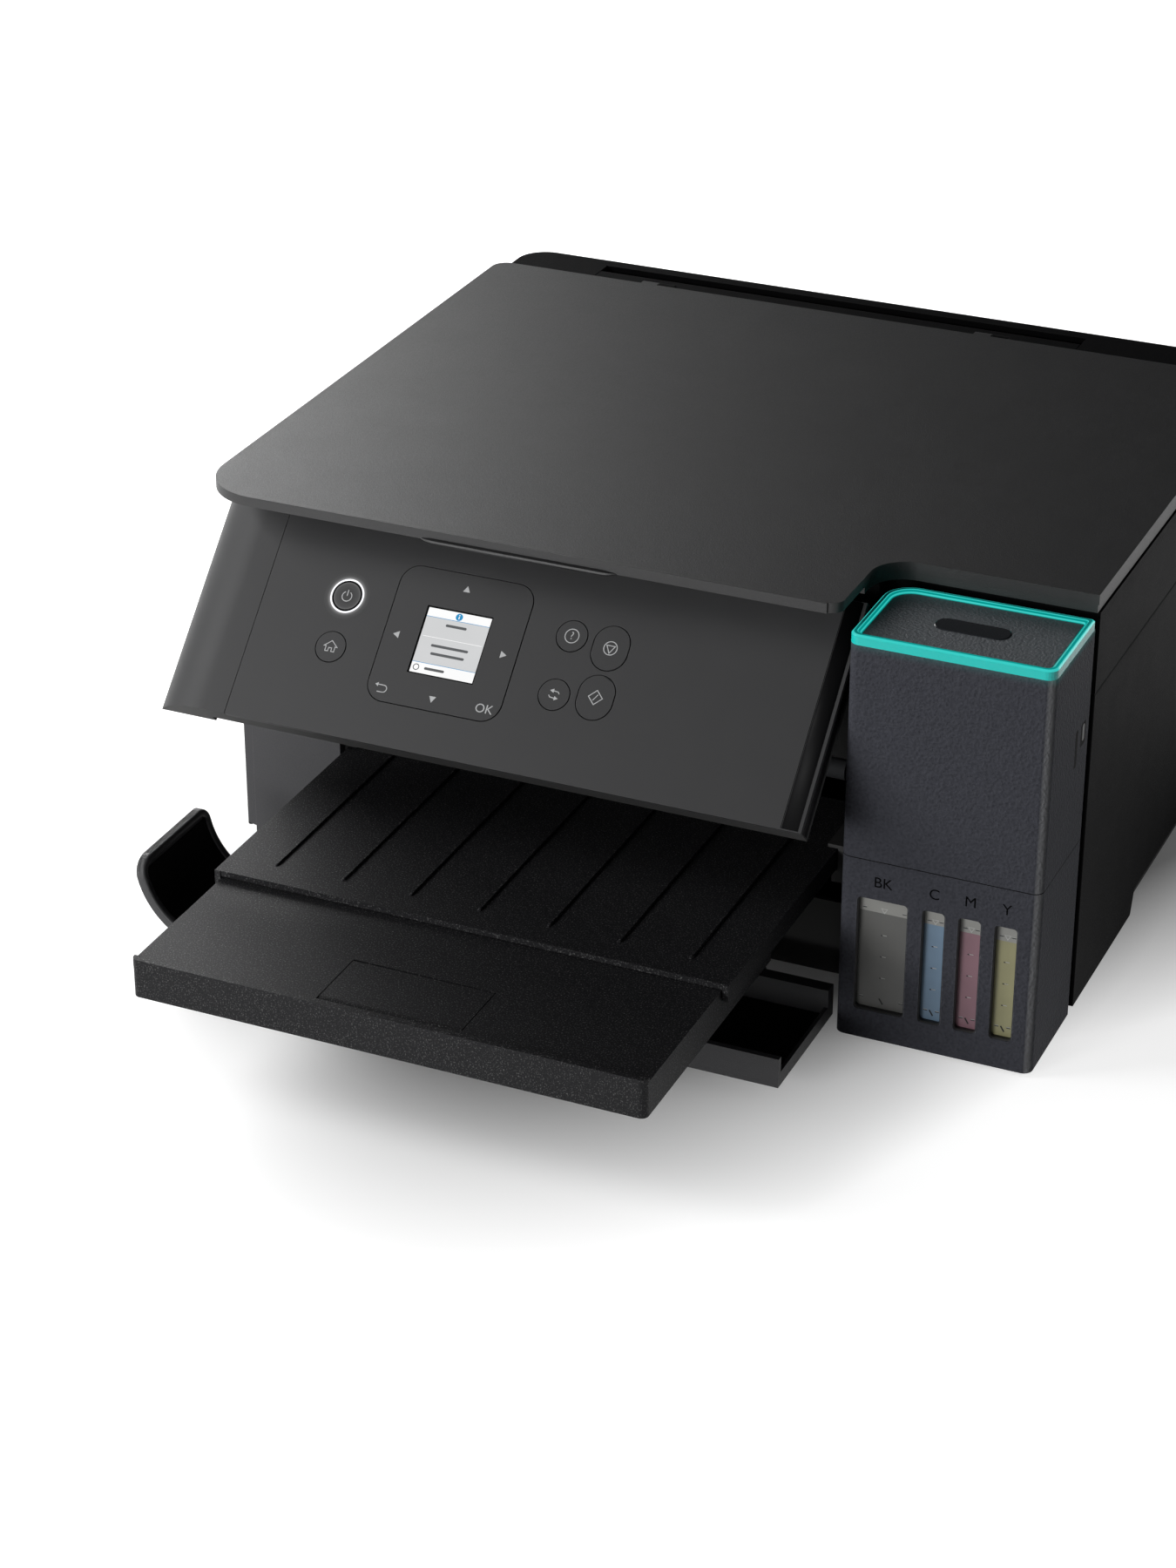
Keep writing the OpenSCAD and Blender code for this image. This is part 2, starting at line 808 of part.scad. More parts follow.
module reservoir(i) {
    side = 1.6;
    x = [window_x[i] - side, window_x[i] + window_w[i] + side];
    y = [reservoir_y0, reservoir_y1];
    t = reservoir_wall;
    difference() {
        block(x, y, [reservoir_z0, reservoir_top]);
        block([x[0] + t, x[1] - t], [y[0] + t, y[1] - t], [reservoir_z0 + t, reservoir_top - t]);
        translate([cap_x[i], spout_y, reservoir_top - t - 1]) cylinder(h = t + 2, r = spout_r - 1.4);
        rod_y([y[1] - t - 1, y[1] + 1], cap_x[i], reservoir_z0 + 5, tube_r);
    }
}

module ink_reservoirs() {
    color("#c9ccd2", 0.5) at_front() {
        for (i = [0:3]) {
            reservoir(i);
        }
        block([tank_x + wall, half_w - wall], [reservoir_y0 + 4, tank_d - tank_back_r],
              [foot_h + wall, reservoir_z0]);
    }
}

module filler_deck() {
    color("#28282c") at_front() {
        difference() {
            union() {
                translate([0, 0, deck_z]) linear_extrude(deck_thick) difference() {
                    tank_inside(wall + 1);
                    translate([tank_x, 0]) square([tank_w, reservoir_y0 + 0.5]);
                }
                for (c = cap_x) {
                    translate([c, spout_y, deck_z]) cylinder(h = deck_thick + spout_h, r = spout_r);
                }
            }
            for (c = cap_x) {
                translate([c, spout_y, deck_z - 1]) {
                    cylinder(h = deck_thick + spout_h + 2, r = spout_r - 1.4);
                }
            }
        }
        for (c = [cap_rod_x[0], (cap_x[0] + cap_x[1]) / 2 - 1.5, cap_rod_x[1] - 3]) {
            block([c, c + 3], [cap_axis_y - 2.5, cap_axis_y + 2.5],
                  [deck_z + deck_thick, cap_axis_z + 2.5]);
        }
        rod_x(cap_rod_x, cap_axis_y, cap_axis_z, cap_rod_r);
        difference() {
            block([tank_x + 1, half_w - 1], [back_plate_y, back_plate_y + back_plate_t],
                  [base_top, hinge_z - 6]);
            tube_bores([back_plate_y - 1, back_plate_y + back_plate_t + 1]);
        }
        block([tank_x + tank_back_r, half_w - wall - 1], [tank_d, back_plate_y],
              [deck_z, deck_z + deck_thick]);
        for (x = tank_ear_x) {
            tank_ear(x);
        }
        tank_corner_post();
    }
}

// Fixed part of the wall round the tank unit's back corner, which the opening cover leaves free
module tank_corner_post() {
    corner = [tank_x - 1, tank_d - tank_back_r + seam_gap];
    z0 = tank_seam_z + 0.4;
    translate([0, 0, z0]) linear_extrude(corner_z - z0) intersection() {
        tank_walls();
        translate(corner) square([tank_back_r + 1, tank_back_r]);
    }
    block([tank_x + tank_back_r - 4, tank_x + tank_back_r], [tank_d - 1.4, back_plate_y + 1],
          [z0, corner_z]);
}

// Ear that carries one of the tank cover's hinge pins
module tank_ear(x) {
    arm_z = [hinge_z - 9, hinge_z - 5.4];
    r = hinge_boss_r;
    difference() {
        union() {
            rod_x([x, x + tank_ear_t], hinge_y, hinge_z, r);
            block([x, x + tank_ear_t], [hinge_y - r, hinge_y + r], [arm_z[0], hinge_z]);
            block([x, x + tank_ear_t], [hinge_y, back_plate_y], arm_z);
        }
        rod_x([x - 1, x + tank_ear_t + 1], hinge_y, hinge_z, hinge_pin_r + run_gap);
    }
}

module tank_cover() {
    z0 = tank_seam_z + 0.4;
    lug_x = tank_ear_x[0] - side_gap;
    color("#34353c") at_front() {
        difference() {
            union() {
                translate([0, 0, z0]) linear_extrude(cover_top - z0) tank_walls();
                translate([0, 0, cover_top - wall]) linear_extrude(wall) tank_outline(0);
                translate([0, 0, cover_top]) linear_extrude(ring_h - 1.4) {
                    tank_outline(ring_w + side_gap);
                }
            }
            for (x = tank_ear_x) {
                block([x - side_gap, x + tank_ear_t + side_gap],
                      [hinge_y - hinge_boss_r - 0.6, tank_d + 1], [hinge_z - 12, cover_top - 0.3]);
            }
            block([tank_x - 1, tank_x + tank_back_r + 1], [tank_d - tank_back_r, tank_d + 1],
                  [z0 - 1, corner_z + seam_gap]);
        }
        block([lug_x - 4, lug_x], [hinge_y - hinge_boss_r, hinge_y + hinge_boss_r],
              [hinge_z - hinge_boss_r, cover_top - wall]);
        rod_x([lug_x - 1, tank_ear_x[0] + tank_ear_t], hinge_y, hinge_z, hinge_pin_r);
        rod_x([tank_ear_x[1], half_w - wall + 0.5], hinge_y, hinge_z, hinge_pin_r);
    }
}

module light_ring() {
    color("#19c7bd") at_front() translate([0, 0, ring_z]) linear_extrude(ring_h) difference() {
        tank_outline(0);
        tank_outline(ring_w);
    }
}

module cap(i, tint) {
    cup_z = deck_z + deck_thick + 0.4;
    color(tint) at_front() {
        difference() {
            union() {
                translate([cap_x[i], spout_y, cup_z]) cylinder(h = cap_top - cup_z, r = cap_r);
                block([cap_x[i] - 2.5, cap_x[i] + 2.5], [spout_y + cap_r - 1, cap_axis_y],
                      [cap_axis_z - 0.6, cap_axis_z + 1.4]);
                rod_x([cap_x[i] - 4, cap_x[i] + 4], cap_axis_y, cap_axis_z, cap_barrel_r);
            }
            translate([cap_x[i], spout_y, cup_z - 1]) {
                cylinder(h = spout_h + 1, r = spout_r + cap_clear);
            }
            rod_x([cap_x[i] - 5, cap_x[i] + 5], cap_axis_y, cap_axis_z, cap_rod_r + run_gap);
        }
    }
}

module cap_black() { cap(0, "#1c1c1e"); }
module cap_cyan() { cap(1, "#1f8fc4"); }
module cap_magenta() { cap(2, "#c02a7c"); }
module cap_yellow() { cap(3, "#e0c020"); }

module tube_bores(y) {
    for (i = [0:3]) {
        rod_y(y, cap_x[i], tube_z, tube_r + 0.4);
    }
}

module ink_tubes() {
    elbow = tube_r + 0.5;
    top = 120;
    color("#7d8288") at_front() {
        for (i = [0:3]) {
            y1 = tube_end_y + i * 5;
            rod_y([reservoir_y1, y1], cap_x[i], tube_z, tube_r);
            block([cap_x[i] - elbow, cap_x[i] + elbow], [y1 - elbow, y1 + elbow],
                  [tube_z - elbow, tube_z + elbow]);
            translate([cap_x[i], y1, tube_z]) cylinder(h = top - tube_z, r = tube_r);
        }
        block([cap_x[0] - 4, cap_x[3] + 4], [tank_wall_y[1], tube_end_y + 20], [top, top + 4]);
    }
}

// ---------- Rear paper feed ----------

// Distance of the hopper's face behind the front at a height
function hopper_y(z) = hopper_top_y - (hopper_top_z - z) * lean_tan;

module feed_frame() {
    side_y = [pickup_y - 19, body_d - base_inset - base_rim];
    guide_x = [frame_left_x + frame_t + feed_motor_t + 2.5, frame_right_x - frame_leg - 0.5];
    back = wall / cos(feed_lean);
    color("#1c1c1f") at_front() {
        for (x = feed_side_x) {
            difference() {
                side_view([x, x + feed_side_t]) polygon([
                    [side_y[0], base_top], [side_y[1], base_top], [side_y[1], body_top - 6],
                    [duct_y0, body_top - 12], [duct_y0, seam_z], [side_y[0], 100],
                ]);
                rod_x([x - 1, x + feed_side_t + 1], pickup_y, pickup_z, roller_shaft_r + run_gap);
            }
        }
        side_view([feed_side_x[0] + feed_side_t, feed_side_x[1]]) {
            polygon([
                [hopper_y(hopper_low_z), hopper_low_z], [hopper_top_y, hopper_top_z],
                [hopper_top_y + back, hopper_top_z],
                [hopper_y(hopper_low_z) + back, hopper_low_z],
            ]);
            polygon([
                [duct_y0, seam_z + 21], [duct_y0 + duct_t, seam_z + 21],
                [duct_y0 + duct_t, seam_z + 2], [hopper_y(100) - 11, 100],
                [hopper_y(100) - 13, 100], [duct_y0, seam_z + 2],
            ]);
        }
        side_view(guide_x) {
            polygon([
                [feed_y + feed_r + 4, paper_z - 4], [feed_y + feed_r + 4, paper_z - 2],
                [pickup_y - 7, 56], [hopper_y(hopper_low_z) - 1, hopper_low_z],
                [hopper_y(hopper_low_z) + 1, hopper_low_z], [pickup_y - 7, 54],
            ]);
        }
        for (x = scan_hinge_x) {
            scan_ear(x);
        }
    }
}

// Ear that carries one of the scanner unit's hinge pins
module scan_ear(x) {
    difference() {
        union() {
            rod_x([x + hinge_w + side_gap, x + 2 * hinge_w], scan_hinge_y, scan_hinge_z, hinge_r);
            block([x + hinge_w + side_gap, x + 2 * hinge_w], [duct_y0, duct_y0 + duct_t],
                  [seam_z + 4, scan_hinge_z]);
        }
        rod_x([x, x + 3 * hinge_w], scan_hinge_y, scan_hinge_z, pin_r + run_gap);
    }
}

module pickup_roller() {
    color("#3a3a3c") at_front() {
        rod_x([feed_side_x[0] - 1, feed_side_x[1] + feed_side_t + 1], pickup_y, pickup_z,
              roller_shaft_r);
        difference() {
            rod_x([paper_x - 20, paper_x + 20], pickup_y, pickup_z, pickup_r);
            block([paper_x - 21, paper_x + 21], [pickup_y - pickup_r - 1, pickup_y + pickup_r + 1],
                  [pickup_z - pickup_r - 1, pickup_z - pickup_r * 0.6]);
        }
    }
}

module feed_cover() {
    x = [feed_cover_x0, feed_cover_x0 + feed_cover_w];
    z = body_top - feed_cover_t / 2;
    color("#1e1e20") at_front() {
        difference() {
            block(x, [slot_y0 + 0.6, flap_axis_y], [body_top - feed_cover_t, body_top]);
            for (c = lid_hinge_x) {
                block([c - 0.6, c + 2 * hinge_w + 0.6], [slot_y0, slot_y0 + 3.2],
                      [body_top - feed_cover_t - 1, body_top + 1]);
            }
        }
        rod_x(x, flap_axis_y, z, feed_cover_t / 2);
        rod_x([x[0] - 3, x[1] + 3], flap_axis_y, z, feed_pin_r);
    }
}

module paper_support() {
    half = 98;
    across = support_t / cos(feed_lean);
    z = [88, body_top - 3];
    y = [for (h = z) hopper_y(h) + support_shift];
    color("#232326") at_front() {
        side_view([paper_x - half, paper_x + half]) polygon([
            [y[0], z[0]], [y[1], z[1]], [y[1] + across, z[1]], [y[0] + across, z[0]],
        ]);
    }
}

// ---------- Scanner unit ----------

module scan_plan(inset) {
    difference() {
        round_rect([-half_w + inset, half_w - inset], [scanner_front + inset, scanner_back - inset],
                   6);
        translate([throat_x1 - inset, scanner_front - 1]) {
            square([half_w, right_cover_front - scanner_front + 1 + inset]);
        }
    }
}

module scanner_base() {
    floor_t = 2.5;
    top = body_top - 3;
    color("#1a1a1c") at_front() {
        translate([0, 0, seam_z]) linear_extrude(floor_t) scan_plan(0);
        translate([0, 0, seam_z]) linear_extrude(top - seam_z) difference() {
            scan_plan(0);
            scan_plan(wall);
        }
        for (x = [glass_x[0], glass_x[1] - 4]) {
            block([x, x + 4], [scan_rail_y - 6, scan_rail_y + 6],
                  [seam_z + floor_t, scan_rail_z + 5]);
        }
        rod_x(glass_x, scan_rail_y, scan_rail_z, scan_rail_r);
        for (x = scan_hinge_x) {
            rod_x([x, x + hinge_w], scan_hinge_y, scan_hinge_z, hinge_r);
            block([x, x + hinge_w], [scanner_back, scan_hinge_y],
                  [scan_hinge_z - hinge_r, scan_hinge_z + hinge_r]);
            rod_x([x + hinge_w - 1, x + 2 * hinge_w], scan_hinge_y, scan_hinge_z, pin_r);
        }
        for (x = lid_hinge_x) {
            lid_post(x);
        }
    }
}

// Post that carries one of the lid's hinge pins
module lid_post(x) {
    difference() {
        union() {
            rod_x([x + hinge_w + side_gap, x + 2 * hinge_w], lid_hinge_y, lid_hinge_z, hinge_r);
            block([x + hinge_w + side_gap, x + 2 * hinge_w],
                  [lid_hinge_y - hinge_r, lid_hinge_y + hinge_r], [scan_hinge_z - 6, lid_hinge_z]);
            block([x + hinge_w + side_gap, x + 2 * hinge_w],
                  [scanner_back, lid_hinge_y], [scan_hinge_z - 6, scan_hinge_z]);
        }
        rod_x([x, x + 3 * hinge_w], lid_hinge_y, lid_hinge_z, pin_r + run_gap);
    }
}

module scanner_top() {
    color("#202022") at_front() translate([0, 0, body_top - 3]) linear_extrude(3) difference() {
        scan_plan(0);
        translate([glass_x[0], glass_y[0]]) {
            square([glass_x[1] - glass_x[0], glass_y[1] - glass_y[0]]);
        }
    }
}

module scanner_glass() {
    color("#a8c4c0", 0.4) at_front() block(glass_x, glass_y, [body_top - glass_t, body_top - 0.2]);
}

module cis_bar() {
    x = [glass_x[0] + 6, glass_x[0] + 22];
    color("#2b2b2e") at_front() difference() {
        union() {
            block(x, [glass_y[0] + 2, glass_y[1] - 2], [scan_rail_z + 8, body_top - glass_t - 0.5]);
            block(x, [scan_rail_y - 7, scan_rail_y + 7], [scan_rail_z - 4, scan_rail_z + 8]);
        }
        rod_x([x[0] - 1, x[1] + 1], scan_rail_y, scan_rail_z, scan_rail_r + run_gap);
    }
}

// ---------- Document lid ----------

module lid_plan(inset) {
    r = lid_notch_r;
    x = [-half_w + lid_inset + inset, half_w - inset];
    y = [lid_setback + inset, lid_back - inset];
    notch = lid_notch + [-inset, inset];
    difference() {
        union() {
            round_rect([x[0], x[1]], [y[1] - 80, y[1]], 7);
            translate([x[0], y[0] + lid_corner_r]) {
                square([x[1] - x[0], y[1] - y[0] - lid_corner_r - 40]);
            }
            translate([x[0] + lid_corner_r, y[0]]) {
                square([x[1] - x[0] - lid_corner_r, lid_corner_r]);
            }
            translate([x[0] + lid_corner_r, y[0] + lid_corner_r]) circle(r = lid_corner_r);
        }
        translate([notch[0], y[0] - 1]) square([half_w, notch[1] - y[0] + 1 - r]);
        translate([notch[0] + r, y[0] - 1]) square([half_w, notch[1] - y[0] + 1]);
        translate([notch[0] + r, notch[1] - r]) circle(r = r);
        translate([notch[0] - 5, y[0] - 0.01]) difference() {
            square([6, 6]);
            translate([0, 6]) circle(r = 5);
        }
    }
}

module lid_shell() {
    rim_front = 34;
    color("#2b2b2d") at_front() {
        translate([0, 0, lid_top - lid_edge_t]) linear_extrude(lid_edge_t) lid_plan(0);
        translate([0, 0, lid_bottom]) linear_extrude(lid_t - lid_edge_t) intersection() {
            difference() {
                lid_plan(0.6);
                lid_plan(lid_rim);
            }
            translate([-half_w, rim_front]) square([body_w, body_d]);
        }
        for (x = lid_hinge_x) {
            rod_x([x, x + hinge_w], lid_hinge_y, lid_hinge_z, hinge_r);
            block([x, x + hinge_w], [lid_back - 8, lid_hinge_y],
                  [lid_hinge_z - hinge_r, lid_hinge_z + hinge_r]);
            rod_x([x + hinge_w - 1, x + 2 * hinge_w], lid_hinge_y, lid_hinge_z, pin_r);
        }
    }
}

module lid_pad() {
    over = 4;
    color("#efefec") at_front() {
        block([glass_x[0] - over, glass_x[1] + over], [lid_notch[1] + lid_rim + 0.4, glass_y[1]],
              [body_top + 0.3, lid_top - lid_edge_t]);
    }
}

// ---------- Control panel ----------

// Plan of the panel: x across, y up along the face, z out of the face
module on_panel() {
    at_front() translate([0, pivot_y, pivot_z]) rotate([panel_angle, 0, 0]) {
        translate([0, -below_pivot, pivot_depth]) children();
    }
}

module pill(at, w, h, grow) {
    round_rect([at[0] - w / 2 - grow, at[0] + w / 2 + grow],
               [at[1] - h / 2 - grow, at[1] + h / 2 + grow], w / 2 + grow - 0.05);
}

module nav_plan(grow) {
    half = nav_side / 2 + grow;
    round_rect([nav_at[0] - half, nav_at[0] + half], [nav_at[1] - half, nav_at[1] + half],
               8 + grow);
}

module dot(at, r) {
    translate(at) circle(r = r);
}

module panel_face() {
    g = key_gap;
    color("#38383a") on_panel() translate([0, 0, -panel_skin]) linear_extrude(panel_skin) {
        difference() {
            translate([panel_x0 + 0.2, 0]) square([panel_end_x - panel_x0 - 0.2, panel_len]);
            nav_plan(g);
            dot(power_at, ring_r + 0.05);
            for (at = [home_at, help_at, copy_at]) {
                dot(at, key_r + g);
            }
            for (at = [stop_at, start_at]) {
                pill(at, pill_w, pill_h, g);
            }
        }
    }
}

// Plan of the curved left end, seen along the face's height
module end_arc(r) {
    intersection() {
        translate([panel_end_x0, -panel_end_r]) circle(r = r);
        translate([-half_w, -panel_end_depth]) square([panel_end_x0 + half_w, panel_end_depth]);
    }
}

// Extrudes a plan (x across, y out of the face) from v0 to v1 up the face
module up_face(v0, v1) {
    translate([0, v1, 0]) rotate([90, 0, 0]) linear_extrude(v1 - v0) children();
}

module panel_shell() {
    t = panel_t;
    end_plate = 2;
    color("#323234") on_panel() {
        up_face(0, panel_len) {
            difference() {
                end_arc(panel_end_r);
                end_arc(panel_end_r - wall);
            }
            translate([panel_end_x0, -panel_skin]) square([panel_x0 - panel_end_x0, panel_skin]);
            translate([panel_x0 - 2, -t]) square([2, t]);
            translate([panel_end_x - wall, -t]) square([wall, t - panel_skin]);
            translate([panel_x0, -t]) square([panel_end_x - panel_x0, 2]);
        }
        for (v = [0, panel_len - end_plate]) {
            up_face(v, v + end_plate) {
                end_arc(panel_end_r - 0.5);
                translate([panel_end_x0, -t]) square([panel_x0 - panel_end_x0, t - 1]);
            }
            translate([panel_x0, v, -t]) cube([panel_end_x - panel_x0, end_plate, t - panel_skin]);
        }
        for (x = ear_x) {
            panel_lug(x + ear_t + side_gap);
        }
    }
}

// Lug with a pin that turns in the frame's ear
module panel_lug(x) {
    w = 4;
    translate([x, below_pivot, -pivot_depth]) rotate([0, 90, 0]) cylinder(h = w, r = ear_r);
    translate([x, below_pivot - ear_r, -pivot_depth]) {
        cube([w, 2 * ear_r, pivot_depth - panel_t + 0.5]);
    }
    translate([x - side_gap - ear_t, below_pivot, -pivot_depth]) rotate([0, 90, 0]) {
        cylinder(h = ear_t + side_gap + 1, r = pin_r);
    }
}

module lcd_module() {
    half = lcd_side / 2;
    color("#d8dde2") on_panel() {
        translate([lcd_at[0] - half, lcd_at[1] - half, -panel_t + 2]) {
            cube([lcd_side, lcd_side, panel_t - 2.4]);
        }
    }
}

module power_light_ring() {
    color("#f4f7ff") on_panel() translate([0, 0, -panel_skin]) {
        linear_extrude(panel_skin + 0.05) difference() {
            dot(power_at, ring_r);
            dot(power_at, power_r + key_gap);
        }
    }
}

// A key: its cap through the face, its flange behind the face and its stem
module key(at) {
    flange_z = -panel_skin - 0.3;
    flange_t = 1;
    color("#3a3a3c") on_panel() {
        translate([0, 0, flange_z]) linear_extrude(0.15 - flange_z) children(0);
        translate([0, 0, flange_z - flange_t]) linear_extrude(flange_t) children(1);
        translate([at[0], at[1], -panel_t + 2 + key_travel + 0.2]) {
            cylinder(h = panel_t + flange_z - key_travel - 2.2, r = 2);
        }
    }
}

module round_key(at, r) {
    key(at) {
        dot(at, r);
        dot(at, r + key_flange);
    }
}

module pill_key(at) {
    key(at) {
        pill(at, pill_w, pill_h, 0);
        pill(at, pill_w, pill_h, key_flange);
    }
}

module key_power() { round_key(power_at, power_r); }
module key_home() { round_key(home_at, key_r); }
module key_help() { round_key(help_at, key_r); }
module key_copy() { round_key(copy_at, key_r); }
module key_stop() { pill_key(stop_at); }
module key_start() { pill_key(start_at); }

module nav_hole() {
    half = lcd_side / 2 + key_gap;
    translate([lcd_at[0] - half, lcd_at[1] - half]) square([2 * half, 2 * half]);
}

module nav_pad() {
    corner = nav_side / 2 - 6;
    key([nav_at[0] - corner, nav_at[1] - corner]) {
        difference() {
            nav_plan(0);
            nav_hole();
        }
        difference() {
            nav_plan(key_flange);
            nav_hole();
        }
    }
}

// ---------- Front door ----------

// Section of the door's skin across its width
module door_section(t) {
    translate([wing_x, door_z]) square([door_x1 - wing_x, t]);
    intersection() {
        translate([-half_w, door_z]) square([wing_r, wing_r]);
        translate([wing_x, door_z + wing_r]) difference() {
            circle(r = wing_r);
            circle(r = wing_r - t);
        }
    }
}

module front_door() {
    y = [door_y0, door_y1];
    wing_y = [door_y0 + 1, door_y1 - 3];
    rim_t = 2.6;
    back_rim_t = 6;
    round_r = 8;
    color("#1c1c1e") at_front() {
        intersection() {
            front_view(wing_y) door_section(door_t);
            side_view([-half_w - 1, wing_x + 1]) {
                round_rect([wing_y[0], wing_y[1]], [door_z - 20, door_z + wing_r], round_r);
            }
        }
        block([wing_x, door_x1], y, [door_z, door_z + door_t]);
        block([wing_x, door_x1], [y[0], y[0] + rim_t], [door_z, door_z + door_rim_h]);
        block([wing_x, door_x1], [y[1] - back_rim_t, y[1]], [door_z, door_z + door_rim_h + 1]);
        block([door_x1 - 1.6, door_x1], y, [door_z, door_z + 6]);
        for (x = [-40, 30]) {
            block([x, x + 2], [y[0] + rim_t, y[1] - back_rim_t], [door_z + door_t, door_z + 5]);
        }
        for (x = door_arm_x) {
            door_knuckle(x + ear_t + side_gap);
        }
    }
}

// Knuckle with a pin that turns in the frame's arm
module door_knuckle(x) {
    w = 5;
    rod_x([x, x + w], door_axis_y, door_axis_z, 4);
    block([x, x + w], [door_y1 - 1, door_axis_y], [door_axis_z - 4, door_axis_z + 4]);
    rod_x([x - side_gap - ear_t, x + 1], door_axis_y, door_axis_z, door_pin_r);
}

// ---------- Output tray ----------

module output_tray() {
    x = [tray_x0, tray_x1];
    deck_z0 = tray_z - deck_t;
    round_r = 4;
    color("#242427") at_front() {
        block(x, [tray_y0 + 0.4, tray_y1], [deck_z0, tray_z]);
        for (side = [[x[0], x[0] + wall], [x[1] - wall, x[1]]]) {
            side_view(side) {
                translate([tray_y0 + round_r, tray_skirt_z]) {
                    square([tray_y1 - tray_y0 - round_r, tray_z - tray_skirt_z]);
                }
                translate([tray_y0, tray_skirt_z + round_r]) {
                    square([round_r + 1, tray_z - tray_skirt_z - round_r]);
                }
                translate([tray_y0 + round_r, tray_skirt_z + round_r]) circle(r = round_r);
            }
        }
    }
}

module tray_extension() {
    x = [ext_x0, ext_x1];
    y = [ext_y0, ext_y1];
    round_r = 3;
    slot_x = [paper_x - stop_w / 2 - side_gap, paper_x + stop_w / 2 + side_gap];
    slot_y = [stop_axis_y - 2.4, stop_axis_y + stop_len + 1];
    block_z = stop_axis_z - 2.4;
    color("#242427") at_front() {
        difference() {
            union() {
                block(x, [y[0] + 2, y[1]], [ext_deck_top - deck_t, ext_deck_top]);
                for (c = [slot_x[0] - 3, slot_x[1]]) {
                    block([c, c + 3], [stop_axis_y - 2.4, stop_axis_y + 2.4],
                          [block_z, ext_deck_top - 1]);
                }
            }
            block(slot_x, slot_y, [block_z, ext_deck_top + 1]);
            rod_x([slot_x[0] - 4, slot_x[1] + 4], stop_axis_y, stop_axis_z, stop_pin_r + run_gap);
        }
        for (side = [[x[0], x[0] + wall], [x[1] - wall, x[1]]]) {
            block(side, [y[0] + round_r, y[1]], [tray_low_z, ext_deck_top]);
        }
        translate([0, 0, tray_low_z]) linear_extrude(ext_deck_top + 1.6 - tray_low_z) difference() {
            front_round_rect(x, [y[0], y[0] + 2 * round_r + 2], round_r);
            translate([x[0] + wall, y[0] + wall]) square([x[1] - x[0] - 2 * wall, 3 * round_r]);
            translate([x[0] - 1, y[0] + round_r + 0.5]) square([x[1] - x[0] + 2, 3 * round_r]);
        }
    }
}

module tray_stopper() {
    x = [paper_x - stop_w / 2, paper_x + stop_w / 2];
    color("#2c2c2f") at_front() {
        block(x, [stop_axis_y, stop_axis_y + stop_len], [ext_deck_top - deck_t, ext_deck_top]);
        rod_x(x, stop_axis_y, stop_axis_z, 2);
        rod_x([x[0] - side_gap - 2.8, x[1] + side_gap + 2.8], stop_axis_y, stop_axis_z, stop_pin_r);
    }
}

// ---------- Carriage and rollers ----------

module carriage() {
    x = [carriage_x0, carriage_x0 + carriage_w];
    color("#2a2a2d") at_front() {
        difference() {
            block(x, [carriage_y0, carriage_y1], [carriage_z0 + 6, carriage_z1 - 8]);
            rod_x([x[0] - 1, x[1] + 1], guide_y, guide_z, guide_r + run_gap);
        }
        block([x[0] + 12, x[0] + 52], [carriage_y0 + 8, carriage_y1 - 16],
              [carriage_z0, carriage_z0 + 6]);
        block([x[0] + 2, x[1] - 2], [carriage_y0 + 2, carriage_y0 + 38],
              [carriage_z1 - 8, carriage_z1]);
        block([x[0] + 25, x[0] + 45], [carriage_y1, belt_y + 4],
              [belt_z - belt_r - belt_t - 5, belt_z - belt_r - belt_t - 0.3]);
    }
}

// A spur gear of straight-sided teeth in the plane across X; odd gears start on a gap
module gear(teeth, at_y, odd) {
    r = gear_m * teeth / 2;
    root = r - 1.15 * gear_m;
    tip = r + 0.85 * gear_m;
    step = 360 / teeth;
    side_view([gear_x0, gear_x0 + gear_w]) translate([at_y, feed_z]) {
        circle(r = root);
        for (i = [0:teeth - 1]) {
            rotate(i * step + (odd ? step / 2 : 0)) polygon([
                [root - 0.3, -gear_m * 0.95], [tip, -gear_m * 0.28],
                [tip, gear_m * 0.28], [root - 0.3, gear_m * 0.95],
            ]);
        }
    }
}

module roller(y, r, covers) {
    rod_x([gear_x0 + gear_w - 1, frame_right_x + frame_t + 3], y, feed_z, roller_shaft_r);
    for (c = covers) {
        rod_x(c, y, feed_z, r);
    }
}

module feed_roller() {
    color("#56585c") at_front() {
        roller(feed_y, feed_r, [[throat_x0 + 4, throat_x1 - 4]]);
        gear(feed_teeth, feed_y, false);
    }
}

module exit_roller() {
    n = 6;
    pitch = 36;
    color("#2f3033") at_front() {
        roller(exit_y, exit_r, [for (i = [0:n - 1]) [throat_x0 + 16 + i * pitch,
                                                     throat_x0 + 28 + i * pitch]]);
        gear(feed_teeth, exit_y, false);
    }
}

module idler_gear() {
    color("#e4e2da") at_front() difference() {
        gear(idler_teeth, idler_y, true);
        rod_x([gear_x0 - 1, gear_x0 + gear_w + 1], idler_y, feed_z, 2.5 + run_gap);
    }
}

module motor_pinion() {
    color("#c8a24a") at_front() {
        gear(pinion_teeth, pinion_y, true);
        rod_x([gear_x0 + gear_w - 1, frame_left_x - 1], pinion_y, feed_z, 1.2);
    }
}

